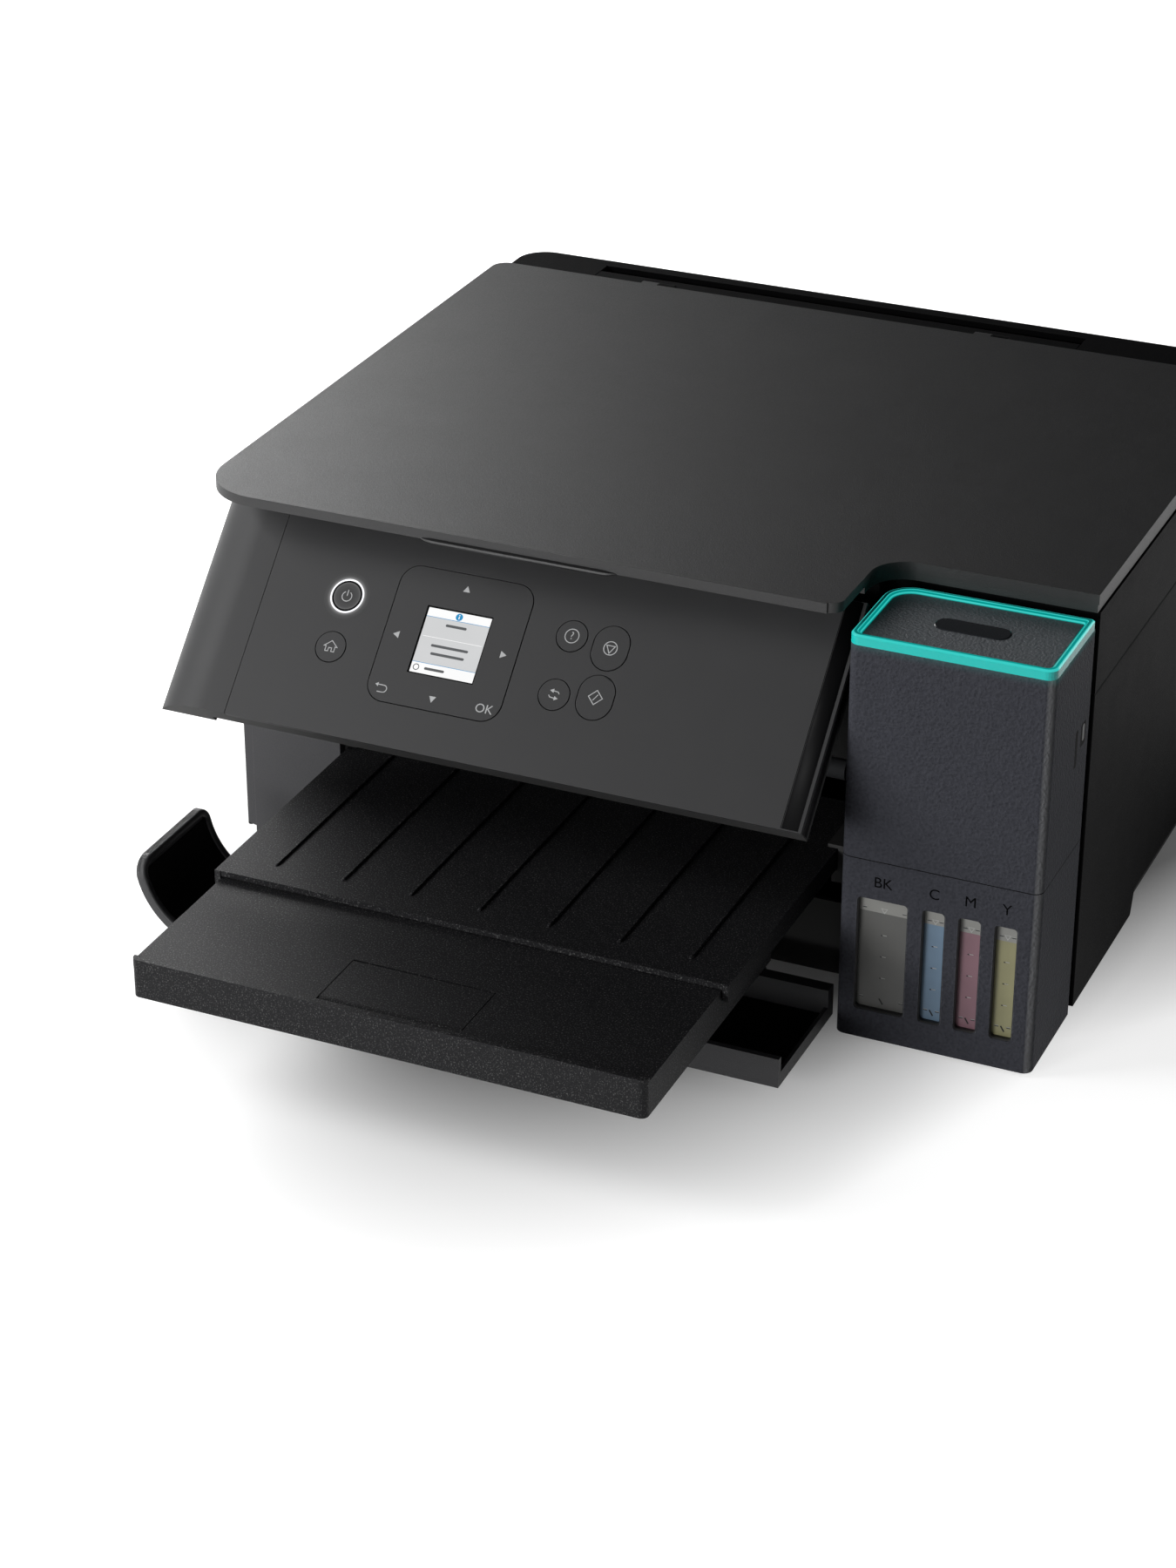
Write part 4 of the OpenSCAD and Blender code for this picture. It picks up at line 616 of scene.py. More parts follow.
class Shape:
    """Closed solids drawn in millimetres in a plane of their own, joined in one piece."""

    def __init__(self, place: Matrix) -> None:
        """Starts an empty shape.

        Args:
            place: Takes the drawing's x, y and height to the frame.
        """
        self.place = place
        self.mesh = bmesh.new()

    def ring(self, outline: Sequence[Point], height: float) -> list[bmesh.types.BMVert]:
        """Puts an outline's points at a height and returns them."""
        return [self.mesh.verts.new(self.place @ Vector((x, y, height))) for x, y in outline]

    def band(self, low: Sequence[bmesh.types.BMVert], high: Sequence[bmesh.types.BMVert],
             skin: int = 0) -> None:
        """Joins two rings of the same count by a band of faces."""
        count = len(low)
        for i in range(count):
            j = (i + 1) % count
            face = self.mesh.faces.new((low[i], low[j], high[j], high[i]))
            face.material_index = skin

    def loft(self, outlines: Sequence[Sequence[Point]], heights: Sequence[float],
             skins: Optional[Sequence[int]] = None) -> "Shape":
        """Adds a solid through stacked outlines, closed at both ends.

        Args:
            outlines: Outlines of equal count, lowest first.
            heights: Their heights.
            skins: Material index of each band and then of the top.

        Returns:
            The shape itself.
        """
        skins = skins or [0] * len(outlines)
        rings = [self.ring(outline, height) for outline, height in zip(outlines, heights)]
        for i in range(len(rings) - 1):
            self.band(rings[i], rings[i + 1], skins[i])
        self.mesh.faces.new(list(reversed(rings[0]))).material_index = skins[0]
        self.mesh.faces.new(rings[-1]).material_index = skins[-1]
        return self

    def tube(self, outlines: Sequence[Sequence[Point]], heights: Sequence[float],
             skins: Optional[Sequence[int]] = None) -> "Shape":
        """Adds a closed ring whose section goes through the outlines and back to the first.

        Args:
            outlines: Outlines of equal count, in order round the section.
            heights: Their heights.
            skins: Material index of each band.

        Returns:
            The shape itself.
        """
        skins = skins or [0] * len(outlines)
        rings = [self.ring(outline, height) for outline, height in zip(outlines, heights)]
        for i, skin in enumerate(skins):
            self.band(rings[i], rings[(i + 1) % len(rings)], skin)
        return self

    def plate(self, outline: Sequence[Point], low: float, high: float, skin: int = 0) -> "Shape":
        """Adds a flat plate between two heights."""
        return self.loft([outline, outline], [low, high], [skin, skin])

    def block(self, x: Span, y: Span, z: Span, skin: int = 0) -> "Shape":
        """Adds a square block."""
        return self.plate([(x[0], y[0]), (x[1], y[0]), (x[1], y[1]), (x[0], y[1])], *z, skin)

    def stroke(self, points: Sequence[Point], width: float, low: float, high: float,
               loop: bool = False, skin: int = 0) -> "Shape":
        """Adds a line of even width along points, as a flat solid.

        Args:
            points: The line's points.
            width: Its width.
            low: Height of its underside.
            high: Height of its top.
            loop: Whether the last point joins the first.
            skin: Material index.

        Returns:
            The shape itself.
        """
        line = [Vector(point) for point in points]
        count = len(line)
        left, right = [], []
        for i, point in enumerate(line):
            before = line[i - 1] if i > 0 or loop else None
            after = line[(i + 1) % count] if i < count - 1 or loop else None
            into = (point - before).normalized() if before is not None else None
            out = (after - point).normalized() if after is not None else None
            into = into or out
            out = out or into
            normal = Vector((-(into.y + out.y), into.x + out.x)).normalized()
            reach = width / 2 / max(0.35, normal.dot(Vector((-out.y, out.x))))
            left.append(tuple(point + normal * reach))
            right.append(tuple(point - normal * reach))
        if loop:
            self.tube([right, right, left, left], [low, high, high, low], [skin] * 4)
            return self
        return self.plate(right + list(reversed(left)), low, high, skin)

    def sweep(self, sections: Sequence[Sequence[Sequence[float]]], skin: int = 0) -> "Shape":
        """Adds a solid through sections that stand anywhere in the drawing.

        Args:
            sections: Closed sections of equal count, each point with x, y and height.
            skin: Material index.

        Returns:
            The shape itself.
        """
        rings = [[self.mesh.verts.new(self.place @ Vector(point)) for point in section]
                 for section in sections]
        for before, after in zip(rings, rings[1:]):
            self.band(before, after, skin)
        self.mesh.faces.new(list(reversed(rings[0]))).material_index = skin
        self.mesh.faces.new(rings[-1]).material_index = skin
        return self

    def letters(self, text: str, size: float, at: Point, low: float, high: float,
                weight: float = 0.0) -> "Shape":
        """Adds plain letters, centred on a point.

        Args:
            text: What they say.
            size: Height of the type in millimetres.
            at: The centre.
            low: Height of their underside.
            high: Height of their top.
            weight: How much bolder each side of a stroke is.

        Returns:
            The shape itself.
        """
        curve = bpy.data.curves.new("letters", "FONT")
        curve.body = text
        curve.size = size
        curve.align_x = "CENTER"
        curve.align_y = "CENTER"
        curve.extrude = (high - low) / 2
        curve.resolution_u = 4
        curve.offset = weight
        holder = bpy.data.objects.new("letters", curve)
        bpy.context.scene.collection.objects.link(holder)
        bpy.context.view_layer.update()
        mesh = bpy.data.meshes.new_from_object(holder.evaluated_get(
            bpy.context.evaluated_depsgraph_get()))
        mesh.transform(self.place @ Matrix.Translation((at[0], at[1], (low + high) / 2)))
        self.mesh.from_mesh(mesh)
        bpy.data.objects.remove(holder)
        bpy.data.curves.remove(curve)
        bpy.data.meshes.remove(mesh)
        return self

    def piece(self, name: str, body: str, *finishes: Finish, edge: float = 0.0,
              replaces: Sequence[str] = (), smooth: bool = False) -> bpy.types.Object:
        """Turns the shape into a piece that rides on a body.

        Args:
            name: The piece's name.
            body: The body that carries it.
            finishes: Its finishes, in the order of the material indices.
            edge: Width of its rounded edges in millimetres.
            replaces: CAD nodes that it stands for.
            smooth: Whether faces are shaded smooth.

        Returns:
            The new object.
        """
        bmesh.ops.remove_doubles(self.mesh, verts=self.mesh.verts, dist=1e-7)
        bmesh.ops.recalc_face_normals(self.mesh, faces=self.mesh.faces)
        for face in self.mesh.faces:
            face.smooth = smooth
        mesh = bpy.data.meshes.new(name)
        self.mesh.to_mesh(mesh)
        self.mesh.free()
        made = bpy.data.objects.new(name, mesh)
        bpy.context.scene.collection.objects.link(made)
        for finish in finishes:
            mesh.materials.append(finish.material())
        if edge:
            round_edges(made, edge, 2)
        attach(made, body)
        if replaces:
            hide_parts(*replaces)
        LOG.info("%s rides on %s", name, body)
        return made


def even_shading(made: bpy.types.Object) -> None:
    """Lets large faces shade flat and their rounded edges shade smooth."""
    shading = made.modifiers.new("even_shading", "WEIGHTED_NORMAL")
    shading.weight = 100
    shading.keep_sharp = False


def round_edges(made: bpy.types.Object, width: float, segments: int) -> None:
    """Rounds an object's sharp edges with a modifier.

    Args:
        made: The object.
        width: Width of the rounding in millimetres.
        segments: Faces across it.
    """
    bevel = made.modifiers.new("rounded_edges", "BEVEL")
    bevel.width = width / 1000
    bevel.segments = segments
    bevel.limit_method = "ANGLE"
    bevel.angle_limit = SHARP_ANGLE
    even_shading(made)


def soften_low_edges(made: bpy.types.Object, height: float, wide: float, slim: float) -> None:
    """Rounds the sharp edges that lie at a height widely, and all other sharp edges slightly.

    Args:
        made: A node of the frame.
        height: The height in metres.
        wide: Width of the wide rounding in millimetres.
        slim: Width of the slight rounding in millimetres.
    """
    source = bmesh.new()
    source.from_mesh(made.data)
    bmesh.ops.remove_doubles(source, verts=source.verts, dist=WELD_REACH)
    sharp = {}
    for edge in source.edges:
        if len(edge.link_faces) == 2 and edge.calc_face_angle() > SHARP_ANGLE:
            ends = sorted(tuple(round(value, 5) for value in vert.co) for vert in edge.verts)
            low = all(abs(vert.co.z - height) < 1e-5 for vert in edge.verts)
            sharp[tuple(ends)] = 1.0 if low else slim / wide
    source.free()
    weights = made.data.attributes.new("bevel_weight_edge", "FLOAT", "EDGE")
    points = made.data.vertices
    for edge in made.data.edges:
        ends = sorted(tuple(round(value, 5) for value in points[i].co) for i in edge.vertices)
        weights.data[edge.index].value = sharp.get(tuple(ends), 0.0)
    made.modifiers.new("weld", "WELD").merge_threshold = WELD_REACH
    bevel = made.modifiers.new("rounded_edges", "BEVEL")
    bevel.limit_method = "WEIGHT"
    bevel.width = wide / 1000
    bevel.segments = 4
    even_shading(made)


@dataclass(frozen=True)
class Dressing:
    """How a node of the frame is finished."""

    node: str
    finish: Finish
    edge: float = 0.4
    segments: int = 2
    # The second finish goes on faces that face the given ways, as painted light and shade.
    second: Optional[Finish] = None
    painted_light_and_shade_ways: tuple[tuple[float, float, float], ...] = ()

    def apply(self, frame: dict) -> None:
        """Gives the node its finish and rounds its edges; a second finish paints light and shade.
        """
        made = frame["nodes"][self.node]
        made.data.materials.clear()
        made.data.materials.append(self.finish.material())
        if self.second:
            made.data.materials.append(self.second.material())
            for face in made.data.polygons:
                if any(face.normal.dot(Vector(way)) > 0.6 for way in self.painted_light_and_shade_ways):
                    face.material_index = 1
        if self.edge:
            made.modifiers.new("weld", "WELD").merge_threshold = WELD_REACH
            round_edges(made, self.edge, self.segments)
        LOG.info("%s finished as %s", self.node, self.finish.name)


@dataclass
class Places:
    """The planes that the pieces are drawn in.

    In the side plane a drawing's x and y are the frame's y and z, and its height is x.
    """

    frame: dict
    panel_angle: float = 45.5
    below_pivot: float = 60.5
    pivot_depth: float = 14.0
    standing: Matrix = field(init=False)
    side: Matrix = field(init=False)
    tank_front: Matrix = field(init=False)
    panel: Matrix = field(init=False)

    def __post_init__(self) -> None:
        """Works the planes out from the frame."""
        front_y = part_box("tank_lower_cover")[0].y
        self.standing = Matrix.Translation((0, front_y, 0)) @ MILLIMETRES
        self.side = self.standing @ Matrix(((0, 0, 1, 0), (1, 0, 0, 0), (0, 1, 0, 0),
                                            (0, 0, 0, 1)))
        upright = Matrix(((1, 0, 0, 0), (0, 0, -1, 0), (0, 1, 0, 0), (0, 0, 0, 1)))
        self.tank_front = Matrix.Translation((0, front_y, 0)) @ upright @ MILLIMETRES
        pivot = next(j for j in self.frame["joints"] if j["name"] == "panel_tilt")["pos_m"]
        self.panel = (Matrix.Translation(pivot)
                      @ Matrix.Rotation(math.radians(self.panel_angle), 4, "X") @ MILLIMETRES
                      @ Matrix.Translation((0, -self.below_pivot, self.pivot_depth)))


# ---------- Sub-assemblies ----------


@dataclass
class DocumentLid:
    """The lid over the scanner glass, with its white pad, grip and bumpers."""

    grip_x: Span = (-80.6, 7.4)
    front_y: float = 3.9
    top_z: float = 187.4
    edge: float = 4.2
    grip_proud: float = 1.5
    bumper_r: float = 4.0
    bumper_x: Span = (-150.0, 70.0)
    bumper_y: float = 24.0
    bumper_drop: float = 3.4

    def build(self, frame: dict, places: Places) -> None:
        """Dresses the lid and adds the grip and bumpers under its front edge.

        Args:
            places: The drawing planes.
        """
        Dressing("lid_shell", LID, 1.1, 4).apply(frame)
        Dressing("lid_pad", PAD, 1.0).apply(frame)
        self.grip(places)
        self.bumpers(places)

    def grip(self, places: Places) -> None:
        """Adds the finger grip that stands proud of the front edge and hangs below it."""
        under = self.top_z - self.edge
        back = self.front_y + 7.0
        section = ((back, under + 0.4), (back, under - 1.0), (self.front_y + 0.6, under - 1.6),
                   (self.front_y - self.grip_proud + 0.5, under - 1.2),
                   (self.front_y - self.grip_proud, under - 0.4),
                   (self.front_y - self.grip_proud + 0.2, under + 0.4),
                   (self.front_y + 0.3, under + 1.1))
        stations = ((0.0, 0.02), (2.0, 0.45), (4.5, 0.85), (7.0, 1.0))
        span = self.grip_x[1] - self.grip_x[0]
        steps = list(stations) + [(span - x, share) for x, share in reversed(stations)]
        shape = Shape(places.side)
        outlines = []
        for _, share in steps:
            outlines.append([(back + (y - back) * (0.75 + 0.25 * share),
                              under + 0.4 + (z - under - 0.4) * share) for y, z in section])
        shape.loft(outlines, [self.grip_x[0] + x for x, _ in steps])
        shape.piece("lid_grip", "document_lid", LID, edge=0.25)

    def bumpers(self, places: Places) -> None:
        """Adds the soft bumpers on which the lid rests."""
        low = self.top_z - self.edge - self.bumper_drop
        shape = Shape(places.standing)
        for x in self.bumper_x:
            outline = circle((x, self.bumper_y), self.bumper_r, 24)
            small = circle((x, self.bumper_y), self.bumper_r - 0.8, 24)
            shape.loft([small, outline, outline], [low, low + 0.8, self.top_z - self.edge + 0.1])
        shape.piece("lid_bumpers", "document_lid", RUBBER)


@dataclass
class ScannerUnit:
    """The flatbed scanner under the lid."""

    def build(self, frame: dict, places: Places) -> None:
        """Dresses the scanner's mouldings, glass and scan head.

        Args:
            places: The drawing planes.
        """
        for dressing in (Dressing("scanner_base", COVER, 0.5), Dressing("scanner_top", COVER, 0.4),
                         Dressing("scanner_glass", GLASS, 0.0), Dressing("cis_bar", INNER_BLACK_AND_SHADE, 0.6)):
            dressing.apply(frame)
        self.scan_head_lens(places)

    def scan_head_lens(self, places: Places) -> None:
        """Adds the lens strip along the top of the scan head."""
        low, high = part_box("cis_bar")
        middle = (low.x + high.x) * 500
        y0 = (low.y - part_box("tank_lower_cover")[0].y) * 1000 + 8
        length = (high.y - low.y) * 1000 - 16
        top = high.z * 1000
        shape = Shape(places.standing)
        shape.block((middle - 1.6, middle + 1.6), (y0, y0 + length), (top - 0.3, top + 0.15))
        shape.piece("scan_head_lens", "scan_head", SCREEN_DARK, edge=0.1)


@dataclass
class ControlPanel:
    """The tilting panel with its display, keys and their marks."""

    display: Point = (-63.8, 46.7)
    display_side: float = 28.4
    display_level: float = -0.4
    mark_low: float = 0.13
    mark_high: float = 0.19
    line: float = 0.36
    seam_x: float = 91.0
    height: float = 95.5
    ring_radii: Span = (5.95, 7.35)
    ring_lit: float = 0.75
    header: float = 10.2
    footer: float = -9.4
    picture_half: float = 13.9
    bars: tuple[tuple[float, float, float], ...] = (
        (0.0, 7.6, 4.6), (0.0, -1.6, 8.2), (0.0, -5.0, 7.4), (-3.6, -11.6, 4.4))
    plane: Matrix = field(init=False)
    up: Point = (-64.0, 70.3)
    down: Point = (-64.2, 23.3)
    left: Point = (-87.5, 46.7)
    right: Point = (-40.8, 46.7)
    back: Point = (-87.0, 23.6)
    ok: Point = (-41.4, 23.2)
    power: Point = (-114.0, 58.5)
    home: Point = (-114.0, 36.2)
    help: Point = (-14.6, 59.8)
    copy: Point = (-14.6, 34.8)
    stop: Point = (2.6, 57.8)
    start: Point = (2.6, 36.9)

    def build(self, frame: dict, places: Places) -> None:
        """Dresses the panel and adds marks, display picture and seam.

        Args:
            places: The drawing planes.
        """
        self.plane = places.panel
        keys = ("key_power", "key_home", "nav_pad", "key_help", "key_copy", "key_stop",
                "key_start")
        for dressing in (Dressing("panel_face", PANEL, 0.12),
                         # The shell's underside and right end take the inner black: painted shade.
                         Dressing("panel_shell", PANEL, 0.7, 3, INNER_BLACK_AND_SHADE,
                                  ((0.0, -0.7, -0.72), (1.0, 0.0, 0.0))),
                         Dressing("lcd_module", SCREEN_DARK, 0.0),
                         *(Dressing(key, PANEL, 0.08) for key in keys)):
            dressing.apply(frame)
        self.seam()
        self.right_end()
        self.power_ring()
        self.picture()
        self.arrows()
        self.power_mark()
        self.home_mark()
        self.help_mark()
        self.copy_mark()
        self.stop_mark()
        self.start_mark()

    def mark(self, name: str, body: str, shape: Shape) -> None:
        """Turns a drawn mark into a printed piece on a key."""
        shape.piece(name, body, ICON)

    def seam(self) -> None:
        """Adds the fine joint line near the panel's right end."""
        shape = Shape(self.plane)
        shape.block((self.seam_x - 0.12, self.seam_x + 0.12), (0.5, self.height - 0.5),
                    (-0.2, 0.03))
        shape.piece("panel_seam", "control_panel", SEAM)

    def right_end(self) -> None:
        """Adds the glossy end that rolls over the panel's right edge."""
        first, last = self.seam_x + 0.3, self.seam_x + 8.75
        section = ((first, -1.0), (first, 0.02), (first + 0.5, 0.3), (first + 1.6, 0.6),
                   (first + 3.2, 0.75), (first + 5.0, 0.62), (first + 6.6, 0.15),
                   (last - 0.7, -0.9), (last - 0.15, -2.2), (last, -3.6), (last, -7.0),
                   (last - 1.5, -7.0))
        shape = Shape(self.plane)
        shape.sweep([[(x, y, z) for x, z in section] for y in (0.5, self.height - 0.5)])
        shape.piece("panel_right_end", "control_panel", PANEL_END, smooth=True)

    def round_power(self, *radii: float) -> list[list[Point]]:
        """Returns circles of these radii round the power key."""
        return [circle(self.power, radius, 60) for radius in radii]

    def power_ring(self) -> None:
        """Adds the lit ring round the power key, its dark inner band and a halo of painted glow.
        """
        low, high = self.ring_radii
        slim = high - self.ring_lit
        shape = Shape(self.plane)
        shape.tube(self.round_power(high, high - 0.12, slim + 0.12, slim, slim, high),
                   [0.0, 0.06, 0.06, 0.0, -1.0, -1.0])
        shape.piece("power_ring", "control_panel", POWER_LIGHT, replaces=["power_light_ring"])
        shape = Shape(self.plane)
        shape.tube(self.round_power(slim, slim, low, low), [-1.0, 0.02, 0.02, -1.0])
        shape.piece("power_ring_inner", "control_panel", SEAM)
        centre = tuple(self.plane @ Vector((*self.power, 0.0)))
        halos = (("outer", "control_panel", 0.0, (high, high + 2.6), (high, high + 2.6)),
                 ("inner", "key_power", self.mark_low, (low - 2.4, low - 0.15), (slim, low - 2.4)))
        for name, body, base, (inner, outer), reach in halos:
            finish = Halo(f"panel_halo_{name}", "panel_black", PANEL.colour, PANEL.roughness,
                          centre, (reach[0] / 1000, reach[1] / 1000))
            shape = Shape(self.plane)
            shape.tube(self.round_power(outer, outer, inner, inner),
                       [base - 0.2, base + 0.03, base + 0.03, base - 0.2])
            shape.piece(f"power_halo_{name}", body, finish)

    def picture(self) -> None:
        """Adds what the display shows: header, two panes of plain bars, footer."""
        half = self.display_side / 2 - 0.3
        cx, cy = self.display
        low = self.display_level - 0.05
        base = self.display_level + 0.04
        top = base + 0.03
        x = (cx - half, cx + half)
        bands = ((self.picture_half, self.header, 0), (self.header, self.footer, 1),
                 (self.footer, -self.picture_half, 0))
        shape = Shape(self.plane)
        for upper, lower, skin in bands:
            shape.block(x, (cy + lower, cy + upper), (low, base), skin)
        shape.piece("display_panes", "control_panel", SCREEN_WHITE, SCREEN_GREY)
        shape = Shape(self.plane)
        for height in (self.header, self.footer):
            shape.block(x, (cy + height - 0.1, cy + height + 0.1), (base - 0.02, top))
        shape.block((cx - half * 0.94, cx + half * 0.94), (cy + 1.7, cy + 1.9),
                    (base - 0.02, top), 1)
        shape.piece("display_rules", "control_panel", SCREEN_BLUE, SCREEN_WHITE)
        shape = Shape(self.plane)
        for dx, dy, half_length in self.bars:
            shape.plate(rounded((cx + dx - half_length, cx + dx + half_length),
                                (cy + dy - 0.55, cy + dy + 0.55), 0.5, 3), base - 0.02, top)
        shape.stroke(arc((cx - 11.6, cy - 11.6), 1.2, 0, 345, 20), 0.35, base - 0.02, top, True)
        shape.piece("display_bars", "control_panel", SCREEN_TEXT)
        shape = Shape(self.plane)
        shape.plate(circle((cx, cy + 12.0), 1.55, 24), base - 0.02, top)
        shape.piece("display_dot", "control_panel", SCREEN_BLUE)
        shape = Shape(self.plane)
        for low_y, high_y in ((11.1, 12.2), (12.5, 12.95)):
            shape.block((cx - 0.22, cx + 0.22), (cy + low_y, cy + high_y),
                        (top - 0.02, top + 0.02))
        shape.piece("display_dot_mark", "control_panel", SCREEN_WHITE)

    def arrows(self) -> None:
        """Adds the four arrows, the back mark and OK on the key pad."""
        shape = Shape(self.plane)
        for at, turn in ((self.up, 90), (self.down, -90), (self.left, 180), (self.right, 0)):
            corners = arc(at, 1.75, turn, turn + 240, 2)
            shape.plate(corners, self.mark_low, self.mark_high)
        x, y = self.back
        bend = arc((x + 1.0, y - 0.3), 1.5, 90, -90, 8)
        hook = [(x - 1.9, y + 1.2), (x + 1.0, y + 1.2), *bend[1:], (x - 1.4, y - 1.8)]
        shape.stroke(hook, self.line, self.mark_low, self.mark_high)
        shape.plate([(x - 2.9, y + 1.2), (x - 1.6, y + 0.3), (x - 1.6, y + 2.1)], self.mark_low,
                    self.mark_high)
        shape.letters("OK", 5.3, self.ok, self.mark_low, self.mark_high, -0.02)
        self.mark("pad_marks", "nav_pad", shape)

    def power_mark(self) -> None:
        """Adds the standby sign."""
        x, y = self.power
        shape = Shape(self.plane)
        shape.stroke(arc((x, y - 0.2), 2.1, 120, 420, 26), self.line, self.mark_low,
                     self.mark_high)
        shape.stroke([(x, y), (x, y + 2.6)], self.line, self.mark_low, self.mark_high)
        self.mark("power_mark", "key_power", shape)

    def home_mark(self) -> None:
        """Adds the outline of a house."""
        x, y = self.home
        house = [(x - 0.7, y - 2.0), (x - 2.0, y - 2.0), (x - 2.0, y + 0.1), (x - 2.9, y + 0.1),
                 (x, y + 2.6), (x + 2.9, y + 0.1), (x + 2.0, y + 0.1), (x + 2.0, y - 2.0),
                 (x + 0.7, y - 2.0), (x + 0.7, y - 0.5), (x - 0.7, y - 0.5)]
        shape = Shape(self.plane)
        shape.stroke(house, self.line * 0.9, self.mark_low, self.mark_high, True)
        self.mark("home_mark", "key_home", shape)

    def help_mark(self) -> None:
        """Adds a question mark in a circle."""
        shape = Shape(self.plane)
        shape.stroke(circle(self.help, 2.9, 36), self.line, self.mark_low, self.mark_high,
                     True)
        shape.letters("?", 4.6, self.help, self.mark_low, self.mark_high, -0.02)
        self.mark("help_mark", "key_help", shape)

    def copy_mark(self) -> None:
        """Adds two arrows that turn past each other."""
        x, y = self.copy
        shape = Shape(self.plane)
        for side in (1, -1):
            bow = [(x + side * 2.1, y + side * 0.5), (x + side * 1.5, y + side * 1.3),
                   (x - side * 0.4, y + side * 1.5)]
            shape.stroke(bow, self.line, self.mark_low, self.mark_high)
            shape.plate([(x - side * 2.1, y + side * 1.5), (x - side * 0.4, y + side * 0.6),
                         (x - side * 0.4, y + side * 2.4)], self.mark_low, self.mark_high)
        self.mark("copy_mark", "key_copy", shape)

    def stop_mark(self) -> None:
        """Adds a triangle in a circle."""
        x, y = self.stop
        shape = Shape(self.plane)
        shape.stroke(circle(self.stop, 2.8, 36), self.line, self.mark_low, self.mark_high,
                     True)
        triangle = arc((x, y), 2.1, -90, 150, 2)
        shape.stroke(triangle, self.line, self.mark_low, self.mark_high, True)
        self.mark("stop_mark", "key_stop", shape)

    def start_mark(self) -> None:
        """Adds a diamond with a bar in it."""
        x, y = self.start
        shape = Shape(self.plane)
        shape.stroke([(x - 3.0, y), (x, y - 3.0), (x + 3.0, y), (x, y + 3.0)], self.line,
                     self.mark_low, self.mark_high, True)
        shape.stroke([(x - 0.8, y - 1.3), (x + 0.8, y + 1.3)], self.line, self.mark_low,
                     self.mark_high)
        self.mark("start_mark", "key_start", shape)


@dataclass(frozen=True)
class Level:
    """One reservoir's window and what it shows."""

    name: str
    label: str
    x: Span
    ink: Ink
    surface: float


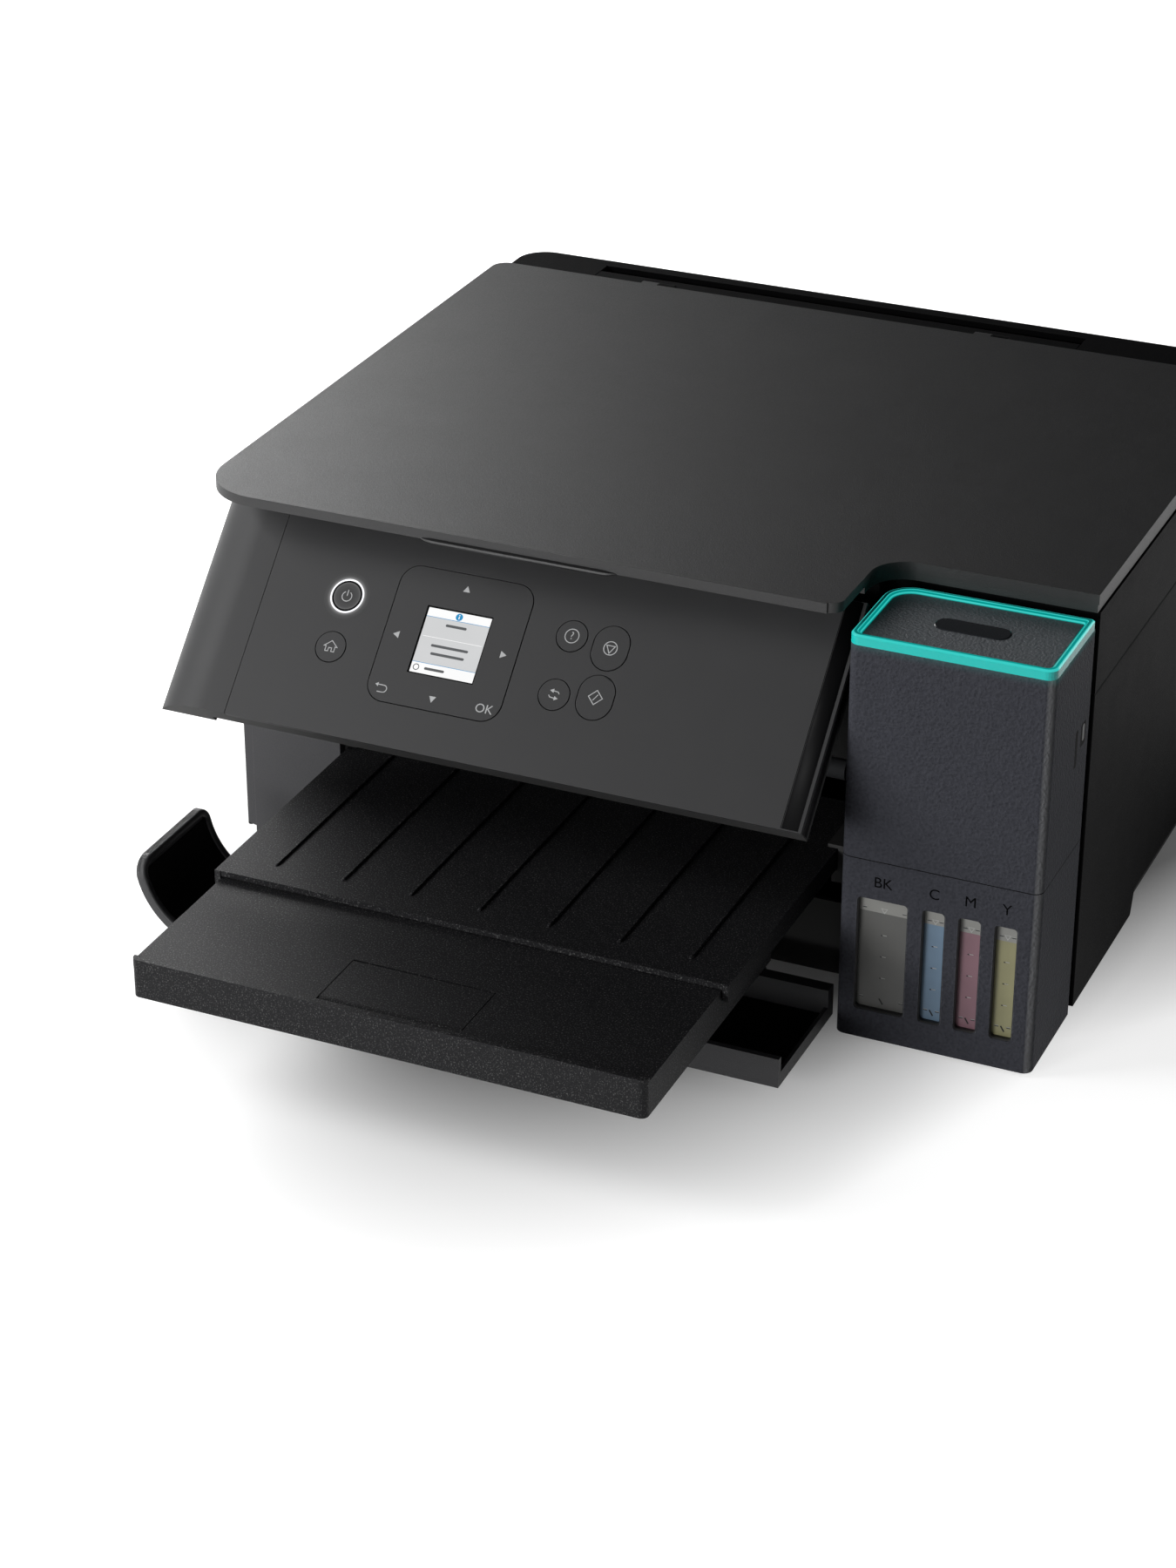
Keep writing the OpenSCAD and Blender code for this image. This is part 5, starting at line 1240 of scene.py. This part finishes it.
@dataclass
class TankUnit:
    """The ink tank unit: covers, glowing ring, windows, ink, marks and caps."""

    x: Span = (103.5, 185.5)
    depth: float = 50.0
    front_radius: float = 4.0
    back_radius: float = 12.0
    ring_low: float = 174.5
    ring_top: float = 178.7
    ring_width: float = 3.2
    window_z: Span = (15.0, 66.0)
    pane_y: float = 3.9
    label_z: float = 73.7
    foot: float = 2.0
    foot_edge: float = 3.4
    slim_edge: float = 0.5
    seam: Span = (82.8, 83.2)
    latches: tuple[tuple[Span, Span], ...] = (((33.0, 36.0), (122.0, 138.0)),
                                              ((40.0, 46.0), (128.0, 138.0)))
    tongue: tuple[Span, Span] = ((42.0, 44.5), (130.0, 137.0))
    badge_half: float = 15.0
    badge_y: Span = (20.0, 30.5)
    badge_r: float = 4.5
    badge_edge: float = 0.3
    pane: float = 0.6
    pane_margin: float = 1.0
    label_size: float = 6.5
    scale_marks: int = 3
    scale_pitch: float = 9.8
    levels: tuple[Level, ...] = (
        Level("black", "BK", (111.2, 132.0), INK_BLACK, 58.6),
        Level("cyan", "C", (138.1, 147.3), INK_CYAN, 58.4),
        Level("magenta", "M", (152.9, 162.1), INK_MAGENTA, 58.2),
        Level("yellow", "Y", (167.7, 176.9), INK_YELLOW, 58.0),
    )

    def build(self, frame: dict, places: Places) -> None:
        """Dresses the covers and adds ring, badge, panes, marks and letters.

        Args:
            places: The drawing planes.
        """
        Dressing("tank_lower_cover", TANK, 0.0).apply(frame)
        soften_low_edges(frame["nodes"]["tank_lower_cover"], self.foot / 1000, self.foot_edge,
                         self.slim_edge)
        # The cover's upward faces take the lighter copy: painted light.
        for dressing in (Dressing("tank_cover", TANK, 0.6, 3, TANK_TOP_PAINTED_LIGHT, ((0.0, 0.0, 1.0),)),
                         Dressing("ink_reservoirs", MILKY, 0.3),
                         Dressing("filler_deck", INNER_BLACK_AND_SHADE, 0.4), Dressing("ink_tubes", TUBE, 0.0)):
            dressing.apply(frame)
        for node, finish in CAP_FINISHES.items():
            Dressing(node, finish, 0.4).apply(frame)
        self.ring(places)
        self.badge(places)
        self.seam_band(places)
        self.latch_slots(places)
        for level in self.levels:
            self.window(places, level)

    def outline(self, inset: float) -> list[Point]:
        """Outline of the unit seen from above, set in from its faces."""
        x0, x1 = self.x[0] + inset, self.x[1] - inset
        y0, y1 = inset, self.depth - inset
        front = self.front_radius - inset / 2
        back = self.back_radius - inset
        points = arc((x1 - front, y0 + front), front, -90, 0, 6)
        points += arc((x1 - 1.2, y1 - 1.2), 1.2, 0, 90, 3)
        points += arc((x0 + back, y1 - back), back, 90, 180, 12)
        points += arc((x0 + front, y0 + front), front, 180, 270, 6)
        return points

    def ring(self, places: Places) -> None:
        """Adds the glowing ring, with painted highlights on its edges and painted shade inside."""
        section = ((0.0, self.ring_low), (0.0, self.ring_top - 0.7), (0.5, self.ring_top - 0.1),
                   (0.8, self.ring_top), (1.9, self.ring_top), (2.2, self.ring_top - 0.25),
                   (self.ring_width - 0.3, self.ring_top - 0.7),
                   (self.ring_width, self.ring_top - 1.3), (self.ring_width, self.ring_low))
        outlines = [self.outline(inset) for inset, _ in section]
        heights = [height for _, height in section]
        shape = Shape(places.standing)
        shape.tube(outlines, heights, [0, 1, 1, 0, 1, 2, 1, 2, 2])
        shape.piece("glowing_ring", "tank_cover", RING, RING_EDGE_HIGHLIGHT, RING_INSIDE_SHADED,
                    replaces=["light_ring"])

    def seam_band(self, places: Places) -> None:
        """Adds the dark band in the joint between the two covers: painted shade in the gap."""
        shape = Shape(places.standing)
        outside, inside = self.outline(0.1), self.outline(2.2)
        low, high = self.seam[0] - 0.25, self.seam[1] + 0.12
        shape.tube([outside, outside, inside, inside], [low, high, high, low])
        shape.piece("cover_seam_painted_shade", "chassis", PAINTED_SHADE_BLACK)

    def latch_slots(self, places: Places) -> None:
        """Adds the latch slots in the upper cover's right side, dark plates of painted shade."""
        shape = Shape(places.side)
        face = self.x[1]
        for y, z in self.latches:
            shape.plate(rounded(y, z, 1.0, 3), face - 0.6, face + 0.02)
        shape.piece("latch_slots", "tank_cover", PAINTED_SHADE_BLACK)
        shape = Shape(places.side)
        shape.plate(rounded(*self.tongue, 0.8, 3), face - 0.4, face + 0.05)
        shape.piece("latch_tongue", "tank_cover", INNER_GREY)

    def badge(self, places: Places) -> None:
        """Adds the bare rounded plate in the middle of the recessed top."""
        shape = Shape(places.standing)
        middle = sum(self.x) / 2
        top = self.ring_top - 1.4
        outline, inner = (
            rounded((middle - self.badge_half + inset, middle + self.badge_half - inset),
                    (self.badge_y[0] + inset, self.badge_y[1] - inset), self.badge_r - inset, 8)
            for inset in (0.0, self.badge_edge))
        shape.loft([outline, outline, inner], [top - 0.2, top + 0.2, top + 0.35])
        shape.piece("bare_badge", "tank_cover", BADGE)

    def window(self, places: Places, level: Level) -> None:
        """Adds the pane, level, scale and label of one reservoir.

        Args:
            places: The drawing planes.
            level: The reservoir's window.
        """
        x = (level.x[0] - self.pane_margin, level.x[1] + self.pane_margin)
        low, high = self.window_z[0] - self.pane_margin, self.window_z[1] + self.pane_margin
        back = -self.pane_y
        front = back + self.pane
        shape = Shape(places.tank_front)
        shape.block(x, (low, level.surface), (back, front), 0)
        shape.block(x, (level.surface, high), (back, front), 1)
        shape.piece(f"level_pane_{level.name}", "chassis", level.ink, EMPTY)
        self.scale(places, level, front)
        self.frame_lines(places, level)
        label = Shape(places.tank_front)
        label.letters(level.label, self.label_size, (sum(level.x) / 2, self.label_z), -0.05, 0.05)
        label.piece(f"label_{level.name}", "chassis", LETTER)

    def window_outline(self, level: Level, margin: float, radius: float) -> list[Point]:
        """Outline of a window's opening, grown by a margin."""
        return rounded((level.x[0] - margin, level.x[1] + margin),
                       (self.window_z[0] - margin, self.window_z[1] + margin), radius, 5)

    def frame_lines(self, places: Places, level: Level) -> None:
        """Adds the fine raised edge that frames a window, and painted shade lining its depth.

        Args:
            places: The drawing planes.
            level: The reservoir's window.
        """
        shape = Shape(places.tank_front)
        grown = self.window_outline(level, 0.45, 2.05)
        inner = self.window_outline(level, 0.02, 1.62)
        middle = self.window_outline(level, 0.2, 1.8)
        shape.tube([grown, middle, inner, inner, grown], [0.0, 0.07, -0.1, -0.6, -0.6])
        shape.piece(f"window_edge_{level.name}", "chassis", TANK, smooth=True)
        # The dark lining of the window's depth is painted shade.
        shape = Shape(places.tank_front)
        shaded_well = self.window_outline(level, -0.1, 1.5)
        bottom = self.pane - self.pane_y
        shape.tube([inner, shaded_well, shaded_well, inner], [-0.45, -0.45, bottom, bottom])
        shape.piece(f"window_well_painted_shade_{level.name}", "chassis", INNER_BLACK_AND_SHADE, smooth=True)

    def scale(self, places: Places, level: Level, front: float) -> None:
        """Adds the marks that are moulded on one reservoir.

        Args:
            places: The drawing planes.
            level: The reservoir's window.
            front: Height of the pane's face.
        """
        middle = sum(level.x) / 2
        low, high = front - 0.05, front + 0.1
        shape = Shape(places.tank_front)
        top = self.window_z[1] - 6.2
        shape.plate([(middle - 1.5, top + 1.1), (middle, top - 1.3), (middle + 1.5, top + 1.1)],
                    low, high, 0)
        shape.plate([(middle - 0.9, top + 0.75), (middle, top - 0.65), (middle + 0.9, top + 0.75)],
                    high - 0.02, high + 0.06, 2)
        for step in range(self.scale_marks):
            z = self.window_z[0] + 14 + step * self.scale_pitch
            shape.block((middle - 0.4, middle + 1.3), (z, z + 0.3), (low, high), 0)
            shape.block((middle - 1.1, middle - 0.3), (z - 0.25, z + 0.15), (low, high), 1)
        for side in (-1, 1):
            edge = level.x[0] + 1.3 if side < 0 else level.x[1] - 1.3
            for z in (self.window_z[0] + 4.0, top + 0.1):
                span = (min(edge, edge - side * 1.7), max(edge, edge - side * 1.7))
                shape.block(span, (z, z + 0.35), (low, high), 1)
                shape.block(span, (z + 0.4, z + 0.6), (low, high), 0)
        foot = self.window_z[0] + 3.2
        shape.stroke([(middle - 0.8, foot + 1.3), (middle + 0.7, foot - 1.1)], 0.6, low, high,
                     False, 1)
        shape.piece(f"scale_{level.name}", "chassis", MARK_PALE, MARK_DARK, EMPTY)


@dataclass
class FrontDoor:
    """The fold-down door with its wing round the body's corner."""

    y: Span = (-54.5, 6.0)
    base: float = 5.9
    skin: float = 2.6
    x: Span = (-149.5, 100.6)
    wing_r: float = 36.0
    wing_y: Span = (-53.45, 2.95)
    wing_corner: float = 8.0
    rim: float = 3.4
    rim_thick: float = 3.9
    rim_length: float = 49.0
    rim_steps: int = 12
    ribs: tuple[float, ...] = (-40.0, 30.0)

    def build(self, frame: dict, places: Places) -> None:
        """Dresses the door and lines its inside with painted shade.

        Args:
            places: The drawing planes.
        """
        Dressing("front_door", DOOR_RIM, 0.7, 3).apply(frame)
        self.pan_painted_shade(places)
        self.wing_painted_shade(places)
        self.wing_rim(places)

    def pan_painted_shade(self, places: Places) -> None:
        """Lays painted shade on the pan's floor between its ribs."""
        shape = Shape(places.standing)
        floor = self.base + self.skin
        y = (self.y[0] + 2.7, self.y[1] - 6.1)
        bounds = [self.x[0], *self.ribs, self.x[1] - 1.7]
        for index in range(3):
            x0 = bounds[index] + (2.1 if index else 0.1)
            shape.block((x0, bounds[index + 1] - 0.1), y, (floor - 0.1, floor + 0.25))
        shape.piece("door_pan_painted_shade", "front_door", PAINTED_SHADE_BLACK)

    def wing_section(self, inner: float, outer: float, start: float, end: float
                     ) -> list[Point]:
        """Section of a curved strip that follows the wing.

        Args:
            inner: Its distance inside the wing's outer face.
            outer: The distance of its other face.
            start: First angle in degrees, 180 at the wing's top.
            end: Last angle in degrees, 270 at the pan.

        Returns:
            The outline across the door.
        """
        centre = (self.x[0], self.base + self.wing_r)
        near = arc(centre, self.wing_r - inner, start, end, 16)
        far = arc(centre, self.wing_r - outer, start, end, 16)
        return near + list(reversed(far))

    def wing_painted_shade(self, places: Places) -> None:
        """Lays painted shade on the wing's inside, within its rims."""
        shape = Shape(places.tank_front)
        outline = self.wing_section(self.skin - 0.1, self.skin + 0.35, 189, 270)
        shape.plate(outline, -self.y[1] + 3.0 + self.rim, -self.y[0] - 1.2 - self.rim)
        shape.piece("wing_painted_shade", "front_door", PAINTED_SHADE_BLACK)

    def rim_path(self, inset: float) -> list[Point]:
        """Path along the wing's rear, top and front edges, laid flat.

        Args:
            inset: How far inside the edges it runs.

        Returns:
            Points of the distance below the top edge and y.
        """
        back, front = self.wing_y[1] - inset, self.wing_y[0] + inset
        corner = self.wing_corner
        radius = corner - inset
        step = (self.rim_length - corner) / self.rim_steps
        down = [self.rim_length - count * step for count in range(self.rim_steps)]
        points = [(s, back) for s in down]
        points += arc((corner, self.wing_y[1] - corner), radius, 90, 180, 8)
        points += arc((corner, self.wing_y[0] + corner), radius, 180, 270, 8)
        return points + [(s, front) for s in reversed(down)]

    def wing_rim(self, places: Places) -> None:
        """Adds the thick rounded rim along the wing's three free edges."""
        wide, thick = self.rim, self.rim_thick
        section = ((0.0, 0.4), (0.0, thick - 0.9), (0.25, thick - 0.3), (0.9, thick),
                   (wide - 0.9, thick), (wide - 0.25, thick - 0.3), (wide, thick - 0.9),
                   (wide, 0.4))
        paths = [self.rim_path(inset) for inset, _ in section]
        sections = []
        for step in range(len(paths[0])):
            ring = []
            for path, (_, depth) in zip(paths, section):
                below, y = path[step]
                angle = math.pi + below / self.wing_r
                reach = self.wing_r - depth
                ring.append((self.x[0] + reach * math.cos(angle), y,
                             self.base + self.wing_r + reach * math.sin(angle)))
            sections.append(ring)
        shape = Shape(places.standing)
        shape.sweep(sections)
        shape.piece("wing_rim", "front_door", DOOR_RIM, smooth=True)


@dataclass
class OutputTray:
    """The pulled-out tray, its extension and its stopper."""

    ribs: int = 7
    rib_pitch: float = 30.0
    middle: float = -24.0
    deck_top: float = 60.0
    y: Span = (-62.0, 66.0)

    def build(self, frame: dict, places: Places) -> None:
        """Dresses the tray and adds the ribs on its deck.

        Args:
            places: The drawing planes.
        """
        for node in ("output_tray", "tray_extension", "tray_stopper"):
            Dressing(node, TRAY, 0.6, 3).apply(frame)
        shape = Shape(places.standing)
        for i in range(self.ribs):
            x = self.middle + (i - (self.ribs - 1) / 2) * self.rib_pitch
            wide = rounded((x - 0.8, x + 0.8), self.y, 0.79, 4)
            slim = rounded((x - 0.45, x + 0.45), (self.y[0] + 1.5, self.y[1] - 1.5), 0.44, 4)
            shape.loft([wide, wide, slim], [self.deck_top - 0.2, self.deck_top + 0.2,
                                            self.deck_top + 0.9])
        shape.piece("tray_ribs", "output_tray", TRAY)


@dataclass
class Body:
    """The lower body: covers, base, feet, throat, screws and sockets."""

    half_width: float = 185.5
    depth: float = 340.0
    side_front: float = 41.2
    skirt: float = 12.0
    seam: float = 143.4
    inlet: tuple[Span, Span] = ((-145.0, -119.0), (24.0, 46.0))
    port: tuple[Span, Span] = ((146.0, 160.0), (38.0, 51.0))
    screws: tuple[Point, ...] = ((-160.0, 125.0), (160.0, 125.0), (-160.0, 60.0), (160.0, 66.0))
    screw_r: float = 3.4
    slot_x: Span = (-128.0, -78.0)
    slot_z: float = 70.0
    slot_pitch: float = 5.0
    slot_height: float = 2.2
    slots: int = 9
    plate: tuple[Span, Span] = ((-30.0, 40.0), (56.0, 92.0))
    pin_reach: float = 4.2
    rear: Matrix = field(init=False)

    def build(self, frame: dict, places: Places) -> None:
        """Dresses the body's mouldings and adds its small parts.

        Args:
            places: The drawing planes.
        """
        outer = (("left_side_cover", 0.8), ("right_side_cover", 0.8), ("rear_cover", 0.6),
                 ("feed_cover", 0.5), ("paper_support", 0.6))
        for node, edge in outer:
            Dressing(node, COVER, edge).apply(frame)
        Dressing("left_front_pillar", PILLAR, 0.6).apply(frame)
        for node in ("base_tray", "front_frame", "tray_rails", "feed_frame", "platen",
                     "capping_station", "power_supply", "rear_sockets"):
            Dressing(node, INNER_BLACK_AND_SHADE, 0.3).apply(frame)
        Dressing("rubber_feet", RUBBER, 0.5).apply(frame)
        self.rear = places.standing @ Matrix.Translation((0, self.depth, 0)) @ Matrix(
            ((-1, 0, 0, 0), (0, 0, 1, 0), (0, 1, 0, 0), (0, 0, 0, 1)))
        self.corner_strip(places)
        self.inlet_pins()
        self.port_tongue()
        self.rear_screws()
        self.rear_louvres()
        self.bare_label()

    def corner_strip(self, places: Places) -> None:
        """Adds the strip between the left cover and the pillar, with its slanted foot."""
        shape = Shape(places.tank_front)
        x = (-self.half_width + 0.6, -self.half_width + 5.9)
        shape.plate([(x[0], self.seam - 1), (x[0], self.skirt + 1.4), (x[1], self.skirt + 0.3),
                     (x[1], self.seam - 1)], -self.side_front - 5.0, -self.side_front + 0.5)
        shape.piece("corner_strip", "chassis", PILLAR, edge=0.35)

    def inlet_pins(self) -> None:
        """Adds the two pins of the power inlet."""
        middle = -sum(self.inlet[0]) / 2
        height = sum(self.inlet[1]) / 2
        shape = Shape(self.rear)
        for x in (middle - self.pin_reach, middle + self.pin_reach):
            pin = circle((x, height), 1.2, 18)
            tip = circle((x, height), 0.7, 18)
            shape.loft([pin, pin, tip], [-14.5, -4.0, -3.2])
        shape.piece("inlet_pins", "chassis", BRASS)

    def port_tongue(self) -> None:
        """Adds the tongue and the shell of the data socket."""
        middle = -sum(self.port[0]) / 2
        height = sum(self.port[1]) / 2
        shape = Shape(self.rear)
        shape.block((middle - 2.9, middle + 2.9), (height - 1.6, height + 1.6), (-14.5, -6.0))
        shape.piece("port_tongue", "chassis", ACETAL, edge=0.2)
        outer = rounded((middle - 4.6, middle + 4.6), (height - 4.1, height + 4.1), 1.0, 3)
        inner = rounded((middle - 4.2, middle + 4.2), (height - 3.7, height + 3.7), 0.7, 3)
        shape = Shape(self.rear)
        shape.tube([outer, outer, inner, inner], [-14.5, -1.6, -1.6, -14.5])
        shape.piece("port_shell", "chassis", SHEET_STEEL)

    def rear_screws(self) -> None:
        """Adds the cross-head screws of the rear cover."""
        shape = Shape(self.rear)
        for x, z in self.screws:
            rim = circle((x, z), self.screw_r, 36)
            flat = circle((x, z), self.screw_r - 0.8, 36)
            shape.loft([rim, rim, flat], [-0.3, 0.02, 0.06])
            # The cross recess is a dark stroke of painted shade.
            for turn in (0, 90):
                angle = math.radians(turn + 20)
                reach = (1.7 * math.cos(angle), 1.7 * math.sin(angle))
                shape.stroke([(x - reach[0], z - reach[1]), (x + reach[0], z + reach[1])], 0.6,
                             0.03, 0.08, False, 1)
        shape.piece("rear_screws", "chassis", SHEET_STEEL, PAINTED_SHADE_BLACK)

    def rear_louvres(self) -> None:
        """Adds the vent slots on the rear cover as dark plates of painted shade."""
        shape = Shape(self.rear)
        for row in range(self.slots):
            z = self.slot_z + row * self.slot_pitch
            shape.plate(rounded(self.slot_x, (z, z + self.slot_height), 1.0, 3), -0.2, 0.04)
        shape.piece("rear_louvres", "chassis", PAINTED_SHADE_BLACK)

    def bare_label(self) -> None:
        """Adds the bare plate in the middle of the rear cover."""
        shape = Shape(self.rear)
        shape.plate(rounded(*self.plate, 2.0, 4), -0.1, 0.05)
        shape.piece("bare_plate", "chassis", LABEL)


@dataclass
class Mechanism:
    """What carries the paper and the ink carriage."""

    def build(self, frame: dict, places: Places) -> None:
        """Dresses frame, shafts, gears, rollers, belt and boards.

        Args:
            places: The drawing planes; not used.
        """
        finishes = (("main_frame", SHEET_STEEL, 0.2), ("guide_shaft", SHAFT_STEEL, 0),
                    ("drive_motors", SHEET_STEEL, 0.3), ("timing_belt", RUBBER, 0),
                    ("waste_ink_box", INNER_GREY, 0.5), ("circuit_board", BOARD, 0),
                    ("carriage", INNER_BLACK_AND_SHADE, 0.6), ("feed_roller", ROLLER_RUBBER, 0),
                    ("exit_roller", ROLLER_RUBBER, 0), ("idler_gear", ACETAL, 0),
                    ("motor_pinion", BRASS, 0), ("drive_pulley", BRASS, 0),
                    ("idler_pulley", ACETAL, 0), ("pickup_roller", ROLLER_RUBBER, 0))
        for node, finish, edge in finishes:
            Dressing(node, finish, edge).apply(frame)


# ---------- Studio ----------


@dataclass(frozen=True)
class Softbox:
    """A rectangular soft light."""

    name: str
    at: tuple[float, float, float]
    aim: tuple[float, float, float]
    size: tuple[float, float]
    power: float

    def build(self) -> None:
        """Hangs the light."""
        light = bpy.data.lights.new(self.name, "AREA")
        light.shape = "RECTANGLE"
        light.size, light.size_y = self.size
        light.energy = self.power
        made = bpy.data.objects.new(self.name, light)
        made.location = self.at
        turn = (Vector(self.at) - Vector(self.aim)).to_track_quat("Z", "Y")
        made.rotation_euler = turn.to_euler()
        bpy.context.scene.collection.objects.link(made)


@dataclass
class Studio:
    """Floor, soft lights and the camera."""

    camera_at: tuple[float, float, float] = (0.52213, -1.28258, 0.78027)
    camera_right: tuple[float, float, float] = (0.91397, 0.40577, 0.0)
    camera_back: tuple[float, float, float] = (0.35834, -0.80714, 0.46917)
    lens: float = 84.26
    floor_size: float = 16.0
    floor_seen: float = 0.86
    floor_lit: float = 0.3
    floor_glow: float = 0.72
    # Places where the floor's own glow fades: painted shadow under and beside the object.
    shades: tuple[tuple[float, float, float, float], ...] = (
        (-0.03, 0.03, 0.17, 0.27), (0.06, 0.16, 0.17, 0.2))
    surround: float = 0.02
    lights: tuple[Softbox, ...] = (
        Softbox("near_left", (-0.95, -0.55, 0.75), (-0.1, 0.0, 0.1), (0.6, 0.6), 8.0),
        Softbox("low_front", (-0.6, -1.9, 0.35), (0.0, 0.0, 0.1), (0.8, 0.5), 14.0),
        Softbox("front_left", (-1.2, -2.2, 0.7), (0.0, 0.0, 0.1), (1.0, 0.8), 15.0),
        Softbox("back_left", (-1.7, 1.5, 1.05), (-0.1, 0.1, 0.15), (1.4, 1.0), 21.0),
        Softbox("near_back_left", (-1.1, 0.75, 0.62), (-0.1, 0.1, 0.18), (0.6, 0.5), 9.0),
        Softbox("edge_right", (0.9, -1.9, 0.5), (0.15, -0.1, 0.1), (0.2, 1.0), 1.2),
        Softbox("right", (2.2, 0.3, 1.2), (0.0, 0.0, 0.1), (1.0, 1.0), 1.5),
        Softbox("back_right", (1.5, 2.2, 0.45), (0.0, 0.2, 0.1), (0.9, 0.6), 12.0),
    )

    def build(self) -> None:
        """Sets up the whole studio."""
        self.camera()
        self.floor()
        self.world()
        for light in self.lights:
            light.build()
        bpy.context.scene.view_settings.view_transform = "Standard"

    def camera(self) -> None:
        """Puts the camera where the object is seen from."""
        lens = bpy.data.cameras.new("camera")
        lens.lens = self.lens
        lens.sensor_width = 36.0
        lens.sensor_fit = "AUTO"
        lens.clip_start = 0.05
        lens.clip_end = 60.0
        made = bpy.data.objects.new("camera", lens)
        right = Vector(self.camera_right).normalized()
        back = Vector(self.camera_back).normalized()
        up = back.cross(right).normalized()
        turn = Matrix((right, up, back)).transposed().to_4x4()
        made.matrix_world = Matrix.Translation(self.camera_at) @ turn
        bpy.context.scene.collection.objects.link(made)
        bpy.context.scene.camera = made

    def floor(self) -> None:
        """Lays the pale floor, which lights the object less than it shows; its glow fades as
        painted shadow.
        """
        half = self.floor_size / 2
        mesh = bpy.data.meshes.new("floor")
        mesh.from_pydata([(-half, -half, 0), (half, -half, 0), (half, half, 0), (-half, half, 0)],
                         [], [(0, 1, 2, 3)])
        made = bpy.data.objects.new("floor", mesh)
        bpy.context.scene.collection.objects.link(made)
        recipe = Recipe("floor_white", (self.floor_seen,) * 3, 0.9)
        recipe.set("Specular IOR Level", 0.1)
        path = recipe.nodes.new("ShaderNodeLightPath")
        seen = recipe.join(path.outputs["Is Camera Ray"], path.outputs["Is Glossy Ray"])
        seen = recipe.join(seen, path.outputs["Is Transmission Ray"])
        recipe.tint(seen, (self.floor_lit,) * 3, (self.floor_seen,) * 3)
        recipe.set("Emission Color", (1.0, 1.0, 1.0, 1.0))
        glow = seen
        for shade in self.shades:
            glow = recipe.join(glow, self.shade(recipe, *shade), "MULTIPLY")
        recipe.drive("Emission Strength", glow)
        mesh.materials.append(recipe.material)
        made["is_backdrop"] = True

    def shade(self, recipe: Recipe, x: float, y: float, reach_x: float, reach_y: float
              ) -> bpy.types.NodeSocket:
        """Lets the floor's own glow fade towards a place under the object: a painted shadow.

        Args:
            recipe: The floor's material.
            x: The place's x.
            y: The place's y.
            reach_x: How far the fading reaches along x.
            reach_y: How far it reaches along y.

        Returns:
            The factor of the glow.
        """
        away = recipe.away((x, y, 0.0), (reach_x, reach_y, 1.0))
        return recipe.spread(away, 0.05, math.sqrt(self.floor_glow), (0.8, 1.35))

    def world(self) -> None:
        """Sets a plain, even surrounding light."""
        world = bpy.data.worlds.new("surround")
        bpy.context.scene.world = world
        world.use_nodes = True
        background = world.node_tree.nodes["Background"]
        background.inputs["Color"].default_value = (1.0, 1.0, 1.0, 1.0)
        background.inputs["Strength"].default_value = self.surround


def corners() -> list[list[float]]:
    """Returns the whole object's box as two plain lists."""
    low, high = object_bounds()
    return [[float(value) for value in low], [float(value) for value in high]]


def main() -> None:
    """Loads the frame and builds every sub-assembly round it."""
    logging.basicConfig(level=logging.INFO, format="%(name)s: %(message)s")
    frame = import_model()
    Studio().build()
    places = Places(frame)
    for assembly in (Body(), Mechanism(), ScannerUnit(), DocumentLid(), ControlPanel(),
                     TankUnit(), FrontDoor(), OutputTray()):
        assembly.build(frame, places)


if __name__ == "__main__":
    main()
